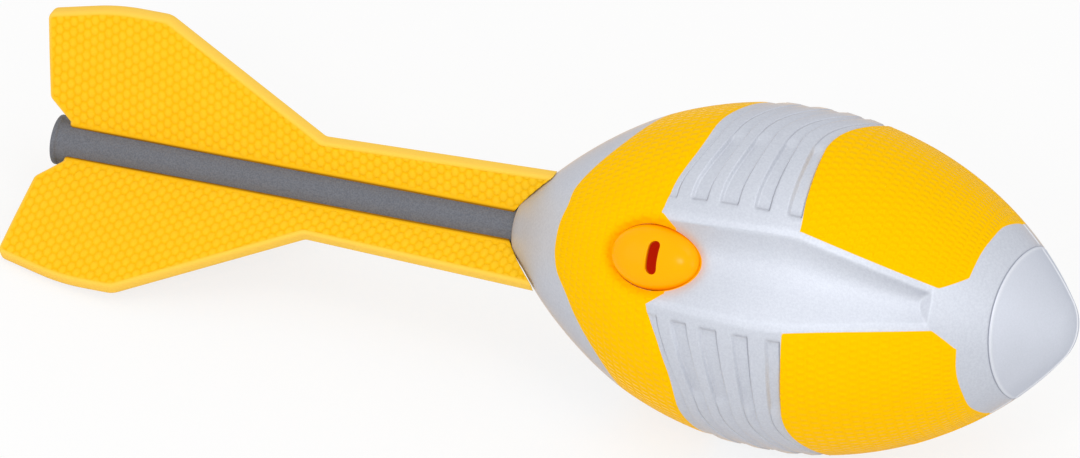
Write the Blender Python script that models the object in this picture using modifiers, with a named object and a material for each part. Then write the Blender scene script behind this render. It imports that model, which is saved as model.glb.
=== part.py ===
"""Whistling foam football: a moulded foam head with two whistles, a tail tube and three foam fins.

World frame: +X runs along the ball's axis towards the nose, +Z is up through the top fin, and the
origin lies on the axis, halfway between the nose tip and the fins' trailing edges.
Lengths along the head are measured from its widest section; lengths along the tail are measured
from the end of the tube.
"""
import math

import bmesh
import bpy
from mathutils import Vector

MM = 0.001

# Clearances between pieces
FIT_GAP = 0.3 * MM
CUTTER_REACH = 5.0 * MM

# Head: an arc turned about the axis, with a rounded nose
HEAD_MID_R = 51.0 * MM
HEAD_ARC_R = 107.5 * MM
NOSE_ROUND_R = 14.3 * MM
HEAD_REAR_WALL = 1.2 * MM

# Nose bumper: the separate tip in front of the seam
NOSE_LENGTH = 17.7 * MM
SEAM_CHAMFER = 0.7 * MM
NOSE_SPIGOT_R = 12.0 * MM
NOSE_SPIGOT_LENGTH = 14.0 * MM

# Grip band: bars across the head with recessed pockets in front of them
GRIP_REAR_X = -25.8 * MM
GRIP_PITCH = 9.8 * MM
GRIP_COUNT = 4
GRIP_GROOVE_WIDTH = 1.7 * MM
GRIP_GROOVE_DEPTH = 0.8 * MM
GRIP_BAR_WIDTH = 3.5 * MM
GRIP_RAMP_WIDTH = 1.5 * MM
GRIP_POCKET_DEPTH = 0.8 * MM
GRIP_START = math.radians(20.5)
GRIP_WALL = math.radians(2.0)
GRIP_BREAK = math.radians(51.0)
GRIP_BOW = 8.0 * MM
BOW_START = math.radians(50.0)
BOW_REAR_X = -62.0 * MM
BOW_FRONT_X = 52.0 * MM
BOW_FADE = 36.0 * MM

# Flutes: the two long scoops that lead air from the nose to the whistles
FLUTE_REAR_X = -50.0 * MM
FLUTE_KNEE_X = 12.0 * MM
FLUTE_FRONT_X = 51.0 * MM
FLUTE_END_WALL = 4.0 * MM
FLUTE_REAR_HALF_W = 13.0 * MM
FLUTE_KNEE_HALF_W = 16.0 * MM
FLUTE_FRONT_HALF_W = 7.0 * MM
FLUTE_DEEP_X = -17.0 * MM
FLUTE_DEPTH_REAR = 5.6 * MM
FLUTE_DEPTH_FRONT = 3.0 * MM
FLUTE_EDGE_WIDTH = 2.2 * MM
FLUTE_EDGE_DEPTH = 0.5 * MM
FLUTE_FLOOR_POWER = 2.4
FLUTE_BORDER = math.radians(2.0)

# Whistles: a slotted oval dome on a resonator cup, sunk in an oval pocket of the head
WHISTLE_X = -30.0 * MM
WHISTLE_SEAT_R = 41.5 * MM
WHISTLE_TILT = math.radians(8.0)
WHISTLE_HALF_LENGTH = 14.4 * MM
WHISTLE_HALF_WIDTH = 9.7 * MM
DOME_HEIGHT = 5.0 * MM
DOME_WALL = 1.5 * MM
DOME_SKIRT = 3.0 * MM
WHISTLE_SLOT_LENGTH = 9.9 * MM
WHISTLE_SLOT_WIDTH = 3.6 * MM
WHISTLE_SLOT_AHEAD = 1.1 * MM
CUP_DEPTH = 12.5 * MM
CUP_WALL = 1.3 * MM
CUP_CORNER = 3.0 * MM
CUP_LAP = 2.2 * MM

# Tail: a moulded tube that flares at its end, its plug, and the barbed anchor in the head
TUBE_TAIL_R = 6.8 * MM
TUBE_HEAD_R = 6.5 * MM
TUBE_WALL = 1.5 * MM
TUBE_EXPOSED = 147.1 * MM
TUBE_IN_HEAD = 48.0 * MM
FLARE_R = 7.2 * MM
FLARE_LENGTH = 20.0 * MM
TUBE_LIP_R = 7.85 * MM
TUBE_LIP = 1.6 * MM
PLUG_LENGTH = 9.0 * MM
PLUG_CHAMFER = 0.5 * MM
ANCHOR_LENGTH = 20.0 * MM
ANCHOR_BARB_R = 10.0 * MM
ANCHOR_SHOULDER = 0.6 * MM
ANCHOR_BARBS = 3
ANCHOR_CREST = 1.2 * MM
ANCHOR_GROOVE = 1.6 * MM
ANCHOR_SPIGOT = 12.0 * MM

# Fins: a wide blade at the tail and a narrow strip that runs up to the head
FIN_COUNT = 3
FIN_THICKNESS = 5.0 * MM
FIN_EDGE_ROUND = 1.3 * MM
FIN_SPAN_R = 48.3 * MM
FIN_OVERHANG = 4.2 * MM
FIN_TIP_CHORD = 38.6 * MM
FIN_CROWN_DROP = 5.2 * MM
FIN_CROWN_CHORD = 21.2 * MM
FIN_WAIST_X = 84.8 * MM
FIN_WAIST_R = 16.9 * MM
FIN_STRIP_X = 87.9 * MM
FIN_STRIP_TAIL_R = 17.9 * MM
FIN_STRIP_HEAD_R = 20.0 * MM
FIN_IN_HEAD = 14.0 * MM
FIN_RAKE = 1.9 * MM
FIN_ROOT_NOTCH = 4.5 * MM
FIN_FOOT_R = 1.4 * MM
FIN_NOTCH_ROUND = 3.0 * MM
FIN_NOTCH_R = 15.0 * MM
FIN_CORNER_R = 4.0 * MM
FIN_CROWN_R = 60.0 * MM
FIN_SHOULDER_R = 7.0 * MM
FIN_WAIST_ROUND = 5.0 * MM

# How finely round pieces are faceted
HEAD_STEPS = 48
DOME_STEPS = 40
TURN_STEPS = 32
HIDDEN_STEPS = 24
ROUND_STEPS = 4
SLOT_END_STEPS = 8

# Places that follow from the sizes above
ARC_DROP = HEAD_ARC_R - HEAD_MID_R
NOSE_CENTRE_X = math.sqrt((HEAD_ARC_R - NOSE_ROUND_R) ** 2 - ARC_DROP ** 2)
NOSE_TIP_X = NOSE_CENTRE_X + NOSE_ROUND_R
SEAM_X = NOSE_TIP_X - NOSE_LENGTH
HEAD_REAR_R = TUBE_HEAD_R + FIT_GAP + HEAD_REAR_WALL
HEAD_REAR_X = -math.sqrt(HEAD_ARC_R ** 2 - (ARC_DROP + HEAD_REAR_R) ** 2)
TUBE_END_X = HEAD_REAR_X - TUBE_EXPOSED
TUBE_FRONT_X = HEAD_REAR_X + TUBE_IN_HEAD
ANCHOR_X = TUBE_FRONT_X + FIT_GAP
ANCHOR_CORE_R = TUBE_HEAD_R + ANCHOR_SHOULDER
OVERALL_LENGTH = NOSE_TIP_X - TUBE_END_X + FIN_OVERHANG
HEAD_X = OVERALL_LENGTH / 2 - NOSE_TIP_X

# The right flute looks 30 degrees above the horizontal, midway between the top and right fins
RIGHT_SIDE = math.radians(60.0)
LEFT_SIDE = RIGHT_SIDE + math.pi


def clear_scene():
    """Start from an empty file."""
    for thing in list(bpy.data.objects):
        bpy.data.objects.remove(thing, do_unlink=True)


def new_collection(name):
    """A collection linked to the scene."""
    group = bpy.data.collections.new(name)
    bpy.context.scene.collection.children.link(group)
    return group


def linear(channel):
    """One 0-255 sRGB channel as a linear value."""
    value = channel / 255.0
    return value / 12.92 if value <= 0.04045 else ((value + 0.055) / 1.055) ** 2.4


def new_material(name, red, green, blue, roughness, metallic=0.0):
    """A Principled material with a colour given as seen, 0 to 255."""
    finish = bpy.data.materials.new(name)
    finish.use_nodes = True
    shader = finish.node_tree.nodes["Principled BSDF"]
    colour = (linear(red), linear(green), linear(blue), 1.0)
    shader.inputs["Base Color"].default_value = colour
    shader.inputs["Roughness"].default_value = roughness
    shader.inputs["Metallic"].default_value = metallic
    finish.diffuse_color = colour
    return finish


def head_paint():
    """Self-skinned foam, painted bright yellow."""
    return new_material("foam_yellow", 254, 198, 3, 0.6)


def nose_paint():
    """Satin silver paint on foam."""
    return new_material("silver_paint", 222, 225, 232, 0.42)


def whistle_plastic():
    """Glossy orange moulding."""
    return new_material("whistle_orange", 253, 176, 4, 0.28)


def cup_plastic():
    """Deep orange-red inside of the whistles."""
    return new_material("cup_orange", 196, 52, 10, 0.4)


def tube_plastic():
    """Finely grained mid-grey moulding."""
    return new_material("tube_grey", 114, 114, 116, 0.55)


def plug_plastic():
    """Darker grey moulding of the tail plug."""
    return new_material("plug_grey", 84, 86, 91, 0.55)


def anchor_plastic():
    """Natural plastic of the hidden anchor."""
    return new_material("anchor_natural", 205, 203, 195, 0.5)


def fin_foam():
    """Dense yellow foam of the fins."""
    return new_material("fin_yellow", 250, 198, 24, 0.7)


def add_object(name, mesh, group, finish=None):
    """Link a mesh as a named object of a collection, smooth where it is round."""
    thing = bpy.data.objects.new(name, mesh)
    group.objects.link(thing)
    if finish is not None:
        mesh.materials.append(finish)
    return thing


def shade_round(thing, angle=math.radians(35.0)):
    """Smooth shading that keeps edges sharper than the angle."""
    thing.data.shade_smooth()
    thing.data.set_sharp_from_angle(angle=angle)


def as_cutter(thing):
    """Mark an object as a cutting guide."""
    thing.hide_render = True
    thing.display_type = "WIRE"
    return thing


def turned(name, profile, group, finish=None, steps=TURN_STEPS, closed=False):
    """Turn a profile of (radius, height) points about local Z."""
    mesh = bpy.data.meshes.new(name)
    links = [(i, i + 1) for i in range(len(profile) - 1)]
    if closed:
        links.append((len(profile) - 1, 0))
    mesh.from_pydata([(radius, 0.0, height) for radius, height in profile], links, [])
    thing = add_object(name, mesh, group, finish)
    lathe = thing.modifiers.new("lathe", "SCREW")
    lathe.axis = "Z"
    lathe.angle = 2 * math.pi
    lathe.screw_offset = 0.0
    lathe.steps = steps
    lathe.render_steps = steps
    lathe.use_merge_vertices = True
    lathe.merge_threshold = 0.01 * MM
    lathe.use_smooth_shade = True
    return thing


def lay_along_axis(thing, x):
    """Turn a piece's local Z onto the ball's axis, with its zero at x from the head's middle."""
    thing.rotation_euler = (0.0, math.pi / 2, 0.0)
    thing.location = (HEAD_X + x, 0.0, 0.0)
    return thing


def cut(thing, cutter):
    """Take the cutter's shape out of a piece."""
    tool = thing.modifiers.new("cut_" + cutter.name, "BOOLEAN")
    tool.operation = "DIFFERENCE"
    tool.solver = "EXACT"
    tool.object = cutter
    return tool


def arc_points(centre, radius, start, end, steps):
    """Points of an arc about a centre, from one angle to another."""
    turn = (end - start) / steps
    return [(centre[0] + radius * math.cos(start + turn * i),
             centre[1] + radius * math.sin(start + turn * i)) for i in range(steps + 1)]


def smooth_step(value):
    """Ease from 0 to 1 with level ends."""
    share = min(max(value, 0.0), 1.0)
    return share * share * (3.0 - 2.0 * share)


def head_radius(x, extra=0.0):
    """Radius of the plain head at x: the main arc, then the nose round beyond their tangent point."""
    tangent_x = NOSE_CENTRE_X * HEAD_ARC_R / (HEAD_ARC_R - NOSE_ROUND_R)
    if x > tangent_x:
        reach = NOSE_ROUND_R + extra
        return math.sqrt(max(reach ** 2 - (x - NOSE_CENTRE_X) ** 2, 0.0))
    return math.sqrt((HEAD_ARC_R + extra) ** 2 - x * x) - ARC_DROP


def flute_half_width(x):
    """Half width of a flute between its outer edges: widest at the knee, narrow at the nose."""
    if x < FLUTE_KNEE_X:
        share = (x - FLUTE_REAR_X) / (FLUTE_KNEE_X - FLUTE_REAR_X)
        return FLUTE_REAR_HALF_W + (FLUTE_KNEE_HALF_W - FLUTE_REAR_HALF_W) * max(share, 0.0)
    share = (x - FLUTE_KNEE_X) / (FLUTE_FRONT_X - FLUTE_KNEE_X)
    return FLUTE_KNEE_HALF_W + (FLUTE_FRONT_HALF_W - FLUTE_KNEE_HALF_W) * min(share, 1.0)


def flute_strength(x):
    """How much of a flute's depth is there: a spoon end at the whistle and a wall at the nose."""
    spoon = smooth_step((x - FLUTE_REAR_X) / (FLUTE_DEEP_X - FLUTE_REAR_X))
    wall = min(max((FLUTE_FRONT_X + FLUTE_END_WALL - x) / FLUTE_END_WALL, 0.0), 1.0)
    return spoon * wall


def flute_depth(x, side):
    """Depth of a flute at x, where side runs from 0 at its middle to 1 at its outer edge."""
    share = min(max((x - FLUTE_DEEP_X) / (FLUTE_FRONT_X - FLUTE_DEEP_X), 0.0), 1.0)
    middle = FLUTE_DEPTH_REAR + (FLUTE_DEPTH_FRONT - FLUTE_DEPTH_REAR) * share
    inner = 1.0 - FLUTE_EDGE_WIDTH / flute_half_width(x)
    if side >= inner:
        depth = FLUTE_EDGE_DEPTH * (1.0 - side) / (1.0 - inner)
    else:
        depth = FLUTE_EDGE_DEPTH + (middle - FLUTE_EDGE_DEPTH) * (1.0 - (side / inner) ** FLUTE_FLOOR_POWER)
    return depth * flute_strength(x)


def bow(angle, station):
    """Forward shift of the grip bars towards the mould's parting line, faded out past the band."""
    share = (angle - BOW_START) / (math.pi / 2 - BOW_START)
    rise = math.sin(0.5 * math.pi * min(max(share, 0.0), 1.0)) ** 2
    fade_rear = smooth_step((station - BOW_REAR_X) / BOW_FADE)
    fade_front = smooth_step((BOW_FRONT_X - station) / BOW_FADE)
    return GRIP_BOW * rise * fade_rear * fade_front


def grip_lines():
    """Stations of the grip band: for each, its pocket depth and its groove depth."""
    lines = []
    for index in range(GRIP_COUNT + 1):
        groove = GRIP_REAR_X + index * GRIP_PITCH
        behind = GRIP_POCKET_DEPTH if index > 0 else 0.0
        lines.append((groove - GRIP_GROOVE_WIDTH / 2, behind, 0.0))
        lines.append((groove, behind, GRIP_GROOVE_DEPTH))
        lines.append((groove + GRIP_GROOVE_WIDTH / 2, 0.0, 0.0))
        if index < GRIP_COUNT:
            lines.append((groove + GRIP_BAR_WIDTH, 0.0, 0.0))
            lines.append((groove + GRIP_BAR_WIDTH + GRIP_RAMP_WIDTH, GRIP_POCKET_DEPTH, 0.0))
    return lines


def plain_stations(start, end, steps):
    """Even stations with no grip band."""
    return [(start + (end - start) * i / steps, 0.0, 0.0) for i in range(steps + 1)]


def head_stations():
    """Stations along the head from the rear to the seam, with the grip band's depths."""
    band = grip_lines()
    rear = plain_stations(HEAD_REAR_X, band[0][0], 8)[:-1]
    front = plain_stations(band[-1][0], FLUTE_FRONT_X, 5)[1:]
    nose = plain_stations(FLUTE_FRONT_X + FLUTE_END_WALL, SEAM_X - SEAM_CHAMFER, 2)
    return rear + band + front + nose


def quarter_columns(x):
    """Angles from a flute's middle to the parting line, each with its place across the flute.

    A column holds its angle, its side value in the flute (above 1 outside it), and how far the
    pocket and the groove are let in there.
    """
    half = min(flute_half_width(x) / head_radius(x), GRIP_START - FLUTE_BORDER)
    inner = 1.0 - FLUTE_EDGE_WIDTH / flute_half_width(x)
    outside = 2.0
    floor_steps, pocket_steps, rest_steps = 4, 4, 5
    columns = []
    for i in range(floor_steps + 1):
        side = inner * i / floor_steps
        columns.append((half * side, side, 0.0, 0.0))
    columns.append((half, 1.0, 0.0, 0.0))
    columns.append((GRIP_START, outside, 0.0, 0.0))
    start = GRIP_START + GRIP_WALL
    for i in range(pocket_steps + 1):
        columns.append((start + (GRIP_BREAK - start) * i / pocket_steps, outside, 1.0, 1.0))
    start = GRIP_BREAK + GRIP_WALL
    for i in range(rest_steps + 1):
        columns.append((start + (math.pi / 2 - start) * i / rest_steps, outside, 0.0, 1.0))
    return columns


def head_ring(station, pocket, groove):
    """One closed ring of the head: the quarter's columns, mirrored about both planes."""
    quarter = []
    for angle, side, pocket_share, groove_share in quarter_columns(station):
        x = station + bow(angle, station)
        radius = head_radius(x)
        if side <= 1.0:
            radius -= flute_depth(x, side)
        pocket_here, groove_here = pocket * pocket_share, groove * groove_share
        radius -= pocket_here + groove_here / 2 if pocket_here > 0.0 else groove_here
        quarter.append((x, angle, radius))
    half = quarter + [(x, math.pi - angle, radius) for x, angle, radius in reversed(quarter[:-1])]
    whole = half + [(x, 2 * math.pi - angle, radius) for x, angle, radius in reversed(half[1:-1])]
    return [Vector((x, radius * math.sin(angle), radius * math.cos(angle))) for x, angle, radius in whole]


def head_mesh():
    """Loft the head through its rings; the ends are flat, the front one chamfered at the seam."""
    rings = [head_ring(*station) for station in head_stations()]
    chamfer_share = (head_radius(SEAM_X) - SEAM_CHAMFER) / head_radius(SEAM_X - SEAM_CHAMFER)
    rings.append([Vector((SEAM_X, p.y * chamfer_share, p.z * chamfer_share)) for p in rings[-1]])
    shell = bmesh.new()
    rows = [[shell.verts.new(point) for point in ring] for ring in rings]
    for low, high in zip(rows, rows[1:]):
        for i in range(len(low)):
            j = (i + 1) % len(low)
            shell.faces.new((low[i], low[j], high[j], high[i]))
    shell.faces.new(list(reversed(rows[0])))
    shell.faces.new(rows[-1])
    bmesh.ops.recalc_face_normals(shell, faces=shell.faces)
    mesh = bpy.data.meshes.new("head_foam")
    shell.to_mesh(mesh)
    shell.free()
    return mesh


def anchor_profile(extra):
    """Barbed core from its front face back to its rear face, grown by extra; local Z points forward."""
    pitch = ANCHOR_LENGTH / ANCHOR_BARBS
    points = [(0.0, ANCHOR_LENGTH + extra)]
    for index in range(ANCHOR_BARBS):
        front = ANCHOR_LENGTH - index * pitch
        back = front - pitch + ANCHOR_GROOVE
        points.append((ANCHOR_CORE_R + extra, front + extra))
        points.append((ANCHOR_BARB_R + extra, back + ANCHOR_CREST + extra))
        points.append((ANCHOR_BARB_R + extra, back - extra))
        points.append((ANCHOR_CORE_R + extra, back - extra))
    return points + [(ANCHOR_CORE_R + extra, -extra)]


def make_head(group, cutters):
    """Foam head: lofted with its flutes and grip bands, bored for the tail and the whistles."""
    head = add_object("head_foam", head_mesh(), group, head_paint())
    head.rotation_euler = (RIGHT_SIDE, 0.0, 0.0)
    head.location = (HEAD_X, 0.0, 0.0)
    cut(head, anchor_cavity_cutter(cutters))
    cut(head, tube_bore_cutter(cutters))
    cut(head, nose_socket_cutter(cutters))
    shade_round(head)
    return head


def anchor_cavity_cutter(cutters):
    """Room in the head for the tube's anchor."""
    points = anchor_profile(FIT_GAP)
    points.append((0.0, points[-1][1]))
    cavity = turned("anchor_cavity", points, cutters, steps=HIDDEN_STEPS)
    return as_cutter(lay_along_axis(cavity, ANCHOR_X))


def tube_bore_cutter(cutters):
    """Room in the head for the tube, from the anchor's cavity out through the rear."""
    radius = TUBE_HEAD_R + FIT_GAP
    front = TUBE_IN_HEAD + ANCHOR_GROOVE
    points = [(0.0, front), (radius, front), (radius, -CUTTER_REACH), (0.0, -CUTTER_REACH)]
    bore = turned("tube_bore", points, cutters)
    return as_cutter(lay_along_axis(bore, HEAD_REAR_X))


def nose_socket_cutter(cutters):
    """Room in the head for the nose bumper's spigot."""
    radius = NOSE_SPIGOT_R + FIT_GAP
    depth = NOSE_SPIGOT_LENGTH + FIT_GAP
    points = [(0.0, CUTTER_REACH), (radius, CUTTER_REACH), (radius, -depth), (0.0, -depth)]
    socket = turned("nose_socket", points, cutters)
    return as_cutter(lay_along_axis(socket, SEAM_X))


def make_nose(group):
    """Nose bumper: the head's own curve from the seam to the tip, on a round spigot."""
    tangent_x = NOSE_CENTRE_X * HEAD_ARC_R / (HEAD_ARC_R - NOSE_ROUND_R)
    tangent_angle = math.asin(head_radius(tangent_x) / NOSE_ROUND_R)
    tip = arc_points((NOSE_CENTRE_X, 0.0), NOSE_ROUND_R, 0.0, tangent_angle, ROUND_STEPS)
    profile = [(radius, x - SEAM_X) for x, radius in tip]
    side_end = FIT_GAP + SEAM_CHAMFER
    side_steps = 4
    for i in range(1, side_steps + 1):
        height = tangent_x - SEAM_X + (side_end - tangent_x + SEAM_X) * i / side_steps
        profile.append((head_radius(SEAM_X + height), height))
    profile.append((head_radius(SEAM_X) - SEAM_CHAMFER, FIT_GAP))
    profile += [(NOSE_SPIGOT_R, FIT_GAP), (NOSE_SPIGOT_R, SEAM_CHAMFER - NOSE_SPIGOT_LENGTH),
                (NOSE_SPIGOT_R - SEAM_CHAMFER, -NOSE_SPIGOT_LENGTH), (0.0, -NOSE_SPIGOT_LENGTH)]
    nose = turned("nose_bumper", profile, group, nose_paint(), steps=HEAD_STEPS)
    return lay_along_axis(nose, SEAM_X)


def whistle_frame(side_name, roll, group):
    """An empty on the axis that points its local Z out through the middle of one flute."""
    frame = bpy.data.objects.new(side_name + "_whistle_frame", None)
    group.objects.link(frame)
    frame.location = (HEAD_X, 0.0, 0.0)
    frame.rotation_euler = (roll, 0.0, 0.0)
    return frame


def seat_whistle_piece(thing, frame):
    """Stand a piece on the whistle's seat, its local Z leaning to the rear by the tilt."""
    thing.parent = frame
    thing.location = (WHISTLE_X, 0.0, WHISTLE_SEAT_R)
    thing.rotation_euler = (0.0, -WHISTLE_TILT, 0.0)
    return thing


def draw_out(thing):
    """Stretch a turned piece's profile from its half width to the whistle's half length."""
    thing.scale = (WHISTLE_HALF_LENGTH / WHISTLE_HALF_WIDTH, 1.0, 1.0)
    return thing


def dome_arc(radius, height, steps):
    """A quarter of an ellipse from the top of the dome to its rim, as (radius, height)."""
    return [(radius * math.sin(0.5 * math.pi * i / steps), height * math.cos(0.5 * math.pi * i / steps))
            for i in range(steps + 1)]


def make_dome(side_name, frame, group, cutters):
    """Whistle dome: an oval cap with a skirt round the cup and a slot across its top."""
    inner_r = WHISTLE_HALF_WIDTH - DOME_WALL
    profile = dome_arc(WHISTLE_HALF_WIDTH, DOME_HEIGHT, 6)
    profile += [(WHISTLE_HALF_WIDTH, -DOME_SKIRT), (inner_r, -DOME_SKIRT)]
    profile += list(reversed(dome_arc(inner_r, DOME_HEIGHT - DOME_WALL, 4)))
    dome = turned(side_name + "_whistle_dome", profile, group, whistle_plastic(), steps=DOME_STEPS)
    seat_whistle_piece(draw_out(dome), frame)
    cut(dome, slot_cutter(side_name, frame, cutters))
    return dome


def slot_cutter(side_name, frame, cutters):
    """A slot with round ends that runs across the ball, through the top of the dome."""
    radius = WHISTLE_SLOT_WIDTH / 2
    reach = WHISTLE_SLOT_LENGTH / 2 - radius
    outline = arc_points((WHISTLE_SLOT_AHEAD, reach), radius, 0.0, math.pi, SLOT_END_STEPS)
    outline += arc_points((WHISTLE_SLOT_AHEAD, -reach), radius, math.pi, 2 * math.pi, SLOT_END_STEPS)
    slot = plate(side_name + "_slot", outline, DOME_HEIGHT + CUTTER_REACH, cutters)
    return as_cutter(seat_whistle_piece(slot, frame))


def make_cup(side_name, frame, group):
    """Resonator cup: open towards the dome, its rim inside the dome's skirt."""
    outer_r = WHISTLE_HALF_WIDTH - DOME_WALL - FIT_GAP
    inner_r = outer_r - CUP_WALL
    top = -DOME_SKIRT + CUP_LAP
    bottom = -CUP_DEPTH
    corner = arc_points((outer_r - CUP_CORNER, bottom + CUP_CORNER), CUP_CORNER, 0.0, -math.pi / 2, 3)
    inside = CUP_CORNER - CUP_WALL
    hollow = arc_points((outer_r - CUP_CORNER, bottom + CUP_CORNER), inside, -math.pi / 2, 0.0, 3)
    profile = [(0.0, bottom + CUP_WALL)] + hollow + [(inner_r, top), (outer_r, top)]
    profile += corner + [(0.0, bottom)]
    cup = turned(side_name + "_whistle_cup", profile, group, cup_plastic(), steps=HIDDEN_STEPS)
    return seat_whistle_piece(draw_out(cup), frame)


def pocket_cutter(side_name, frame, cutters):
    """Oval pocket in the head that follows the dome's skirt and the cup with the fit gap."""
    rim_r = WHISTLE_HALF_WIDTH + FIT_GAP
    shoulder = -DOME_SKIRT - FIT_GAP
    cup_r = WHISTLE_HALF_WIDTH - DOME_WALL
    above = DOME_HEIGHT + CUTTER_REACH
    points = [(0.0, above), (rim_r, above), (rim_r, shoulder), (cup_r, shoulder),
              (cup_r, -CUP_DEPTH - FIT_GAP), (0.0, -CUP_DEPTH - FIT_GAP)]
    pocket = turned(side_name + "_pocket", points, cutters, steps=DOME_STEPS)
    return as_cutter(seat_whistle_piece(draw_out(pocket), frame))


def make_whistle(side_name, roll, head, group, cutters):
    """One whistle: its dome, its cup, and its pocket in the head."""
    frame = whistle_frame(side_name, roll, group)
    make_dome(side_name, frame, group, cutters)
    make_cup(side_name, frame, group)
    cut(head, pocket_cutter(side_name, frame, cutters))


def tube_outer(extra):
    """Outer profile of the tube from its front to its tail end; local Z is zero at the tail end."""
    length = TUBE_EXPOSED + TUBE_IN_HEAD
    flare = [(TUBE_TAIL_R + (FLARE_R - TUBE_TAIL_R) * (i / ROUND_STEPS) ** 2 + extra,
              FLARE_LENGTH - (FLARE_LENGTH - TUBE_LIP) * i / ROUND_STEPS) for i in range(ROUND_STEPS + 1)]
    lip = [(TUBE_LIP_R + extra, TUBE_LIP + extra), (TUBE_LIP_R + extra, 0.0)]
    return [(TUBE_HEAD_R + extra, length)] + flare[:-1] + [(FLARE_R + extra, TUBE_LIP + extra)] + lip


def make_tube(group):
    """Tail tube: drafted towards the head, with a slow flare and a lip at its tail end."""
    length = TUBE_EXPOSED + TUBE_IN_HEAD
    tail_bore = TUBE_TAIL_R - TUBE_WALL
    head_bore = TUBE_HEAD_R - TUBE_WALL
    profile = tube_outer(0.0) + [(tail_bore, 0.0), (head_bore, length)]
    tube = turned("tail_tube", profile, group, tube_plastic(), closed=True)
    return lay_along_axis(tube, TUBE_END_X)


def make_plug(group):
    """Tail plug: closes the tube's mouth with a flat face, flush with the tube's end."""
    taper = (TUBE_TAIL_R - TUBE_HEAD_R) / (TUBE_EXPOSED + TUBE_IN_HEAD)
    radius = TUBE_TAIL_R - TUBE_WALL - FIT_GAP - taper * PLUG_LENGTH
    points = [(0.0, PLUG_LENGTH), (radius - PLUG_CHAMFER, PLUG_LENGTH),
              (radius, PLUG_LENGTH - PLUG_CHAMFER), (radius, 0.0), (0.0, 0.0)]
    plug = turned("tail_plug", points, group, plug_plastic())
    return lay_along_axis(plug, TUBE_END_X)


def make_anchor(group):
    """Barbed anchor moulded into the head, with a spigot up the tube's front end."""
    spigot_r = TUBE_HEAD_R - TUBE_WALL - FIT_GAP
    points = anchor_profile(0.0)
    points += [(spigot_r, 0.0), (spigot_r, -ANCHOR_SPIGOT), (0.0, -ANCHOR_SPIGOT)]
    anchor = turned("tube_anchor", points, group, anchor_plastic(), steps=HIDDEN_STEPS)
    return lay_along_axis(anchor, ANCHOR_X)


def rounded_outline(corners):
    """Round the corners of an outline; each corner is its point and its radius."""
    outline = []
    count = len(corners)
    for index, (point, radius) in enumerate(corners):
        here = Vector(point)
        if radius <= 0.0:
            outline.append((here.x, here.y))
            continue
        back = (Vector(corners[index - 1][0]) - here).normalized()
        ahead = (Vector(corners[(index + 1) % count][0]) - here).normalized()
        half = back.angle(ahead) / 2
        centre = here + (back + ahead).normalized() * (radius / math.sin(half))
        start = here + back * (radius / math.tan(half)) - centre
        end = here + ahead * (radius / math.tan(half)) - centre
        sweep = start.angle_signed(end)
        first = math.atan2(start.y, start.x)
        outline += arc_points((centre.x, centre.y), radius, first, first - sweep, ROUND_STEPS)
    return outline


def plate(name, outline, half_thickness, group, finish=None):
    """A flat outline made solid: a filled 2D curve, extruded both ways and turned into a mesh."""
    flat = bpy.data.curves.new(name + "_outline", "CURVE")
    flat.dimensions = "2D"
    flat.fill_mode = "BOTH"
    flat.extrude = half_thickness
    spline = flat.splines.new("POLY")
    spline.points.add(len(outline) - 1)
    for point, (x, y) in zip(spline.points, outline):
        point.co = (x, y, 0.0, 1.0)
    spline.use_cyclic_u = True
    guide = bpy.data.objects.new(name + "_curve", flat)
    group.objects.link(guide)
    bpy.context.view_layer.update()
    mesh = bpy.data.meshes.new_from_object(guide.evaluated_get(bpy.context.evaluated_depsgraph_get()))
    solid = bmesh.new()
    solid.from_mesh(mesh)
    bmesh.ops.remove_doubles(solid, verts=solid.verts, dist=0.01 * MM)
    bmesh.ops.dissolve_limit(solid, angle_limit=math.radians(0.5), verts=solid.verts, edges=solid.edges)
    bmesh.ops.recalc_face_normals(solid, faces=solid.faces)
    solid.to_mesh(mesh)
    solid.free()
    mesh.name = name
    thing = add_object(name, mesh, group, finish)
    thing.matrix_world = guide.matrix_world.copy()
    bpy.data.objects.remove(guide, do_unlink=True)
    return thing


def fin_outline():
    """Side view of a fin: x from the tube's tail end towards the nose, y out from the axis."""
    tail = -FIN_OVERHANG
    front = TUBE_EXPOSED + FIN_IN_HEAD
    root_r = TUBE_HEAD_R - TUBE_WALL
    strip_slope = (FIN_STRIP_HEAD_R - FIN_STRIP_TAIL_R) / (TUBE_EXPOSED - FIN_STRIP_X)
    return rounded_outline([
        ((front, root_r), 0.0),
        ((front, FIN_STRIP_HEAD_R + strip_slope * FIN_IN_HEAD), 0.0),
        ((FIN_STRIP_X, FIN_STRIP_TAIL_R), 0.0),
        ((FIN_WAIST_X, FIN_WAIST_R), FIN_WAIST_ROUND),
        ((tail + FIN_TIP_CHORD, FIN_SPAN_R), FIN_SHOULDER_R),
        ((tail + FIN_CROWN_CHORD, FIN_SPAN_R), FIN_CROWN_R),
        ((tail, FIN_SPAN_R - FIN_CROWN_DROP), FIN_CORNER_R),
        ((tail + FIN_RAKE, FIN_NOTCH_R), FIN_NOTCH_ROUND),
        ((FIN_ROOT_NOTCH, TUBE_TAIL_R + FIN_FOOT_R), 0.0),
        ((FIN_ROOT_NOTCH, root_r), 0.0),
    ])


def head_clearance_cutter(cutters):
    """The rear of the plain head grown by the fit gap, which trims the fins' front ends."""
    steps = 14
    rear_x = FIT_GAP - math.sqrt((HEAD_ARC_R + FIT_GAP) ** 2 - ARC_DROP ** 2)
    points = [(0.0, 0.0)]
    points += [(head_radius(x, FIT_GAP), x) for x in (rear_x * i / steps for i in range(steps + 1))]
    points.append((0.0, rear_x))
    guard = turned("head_clearance", points, cutters, steps=HEAD_STEPS)
    return as_cutter(lay_along_axis(guard, 0.0))


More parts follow.
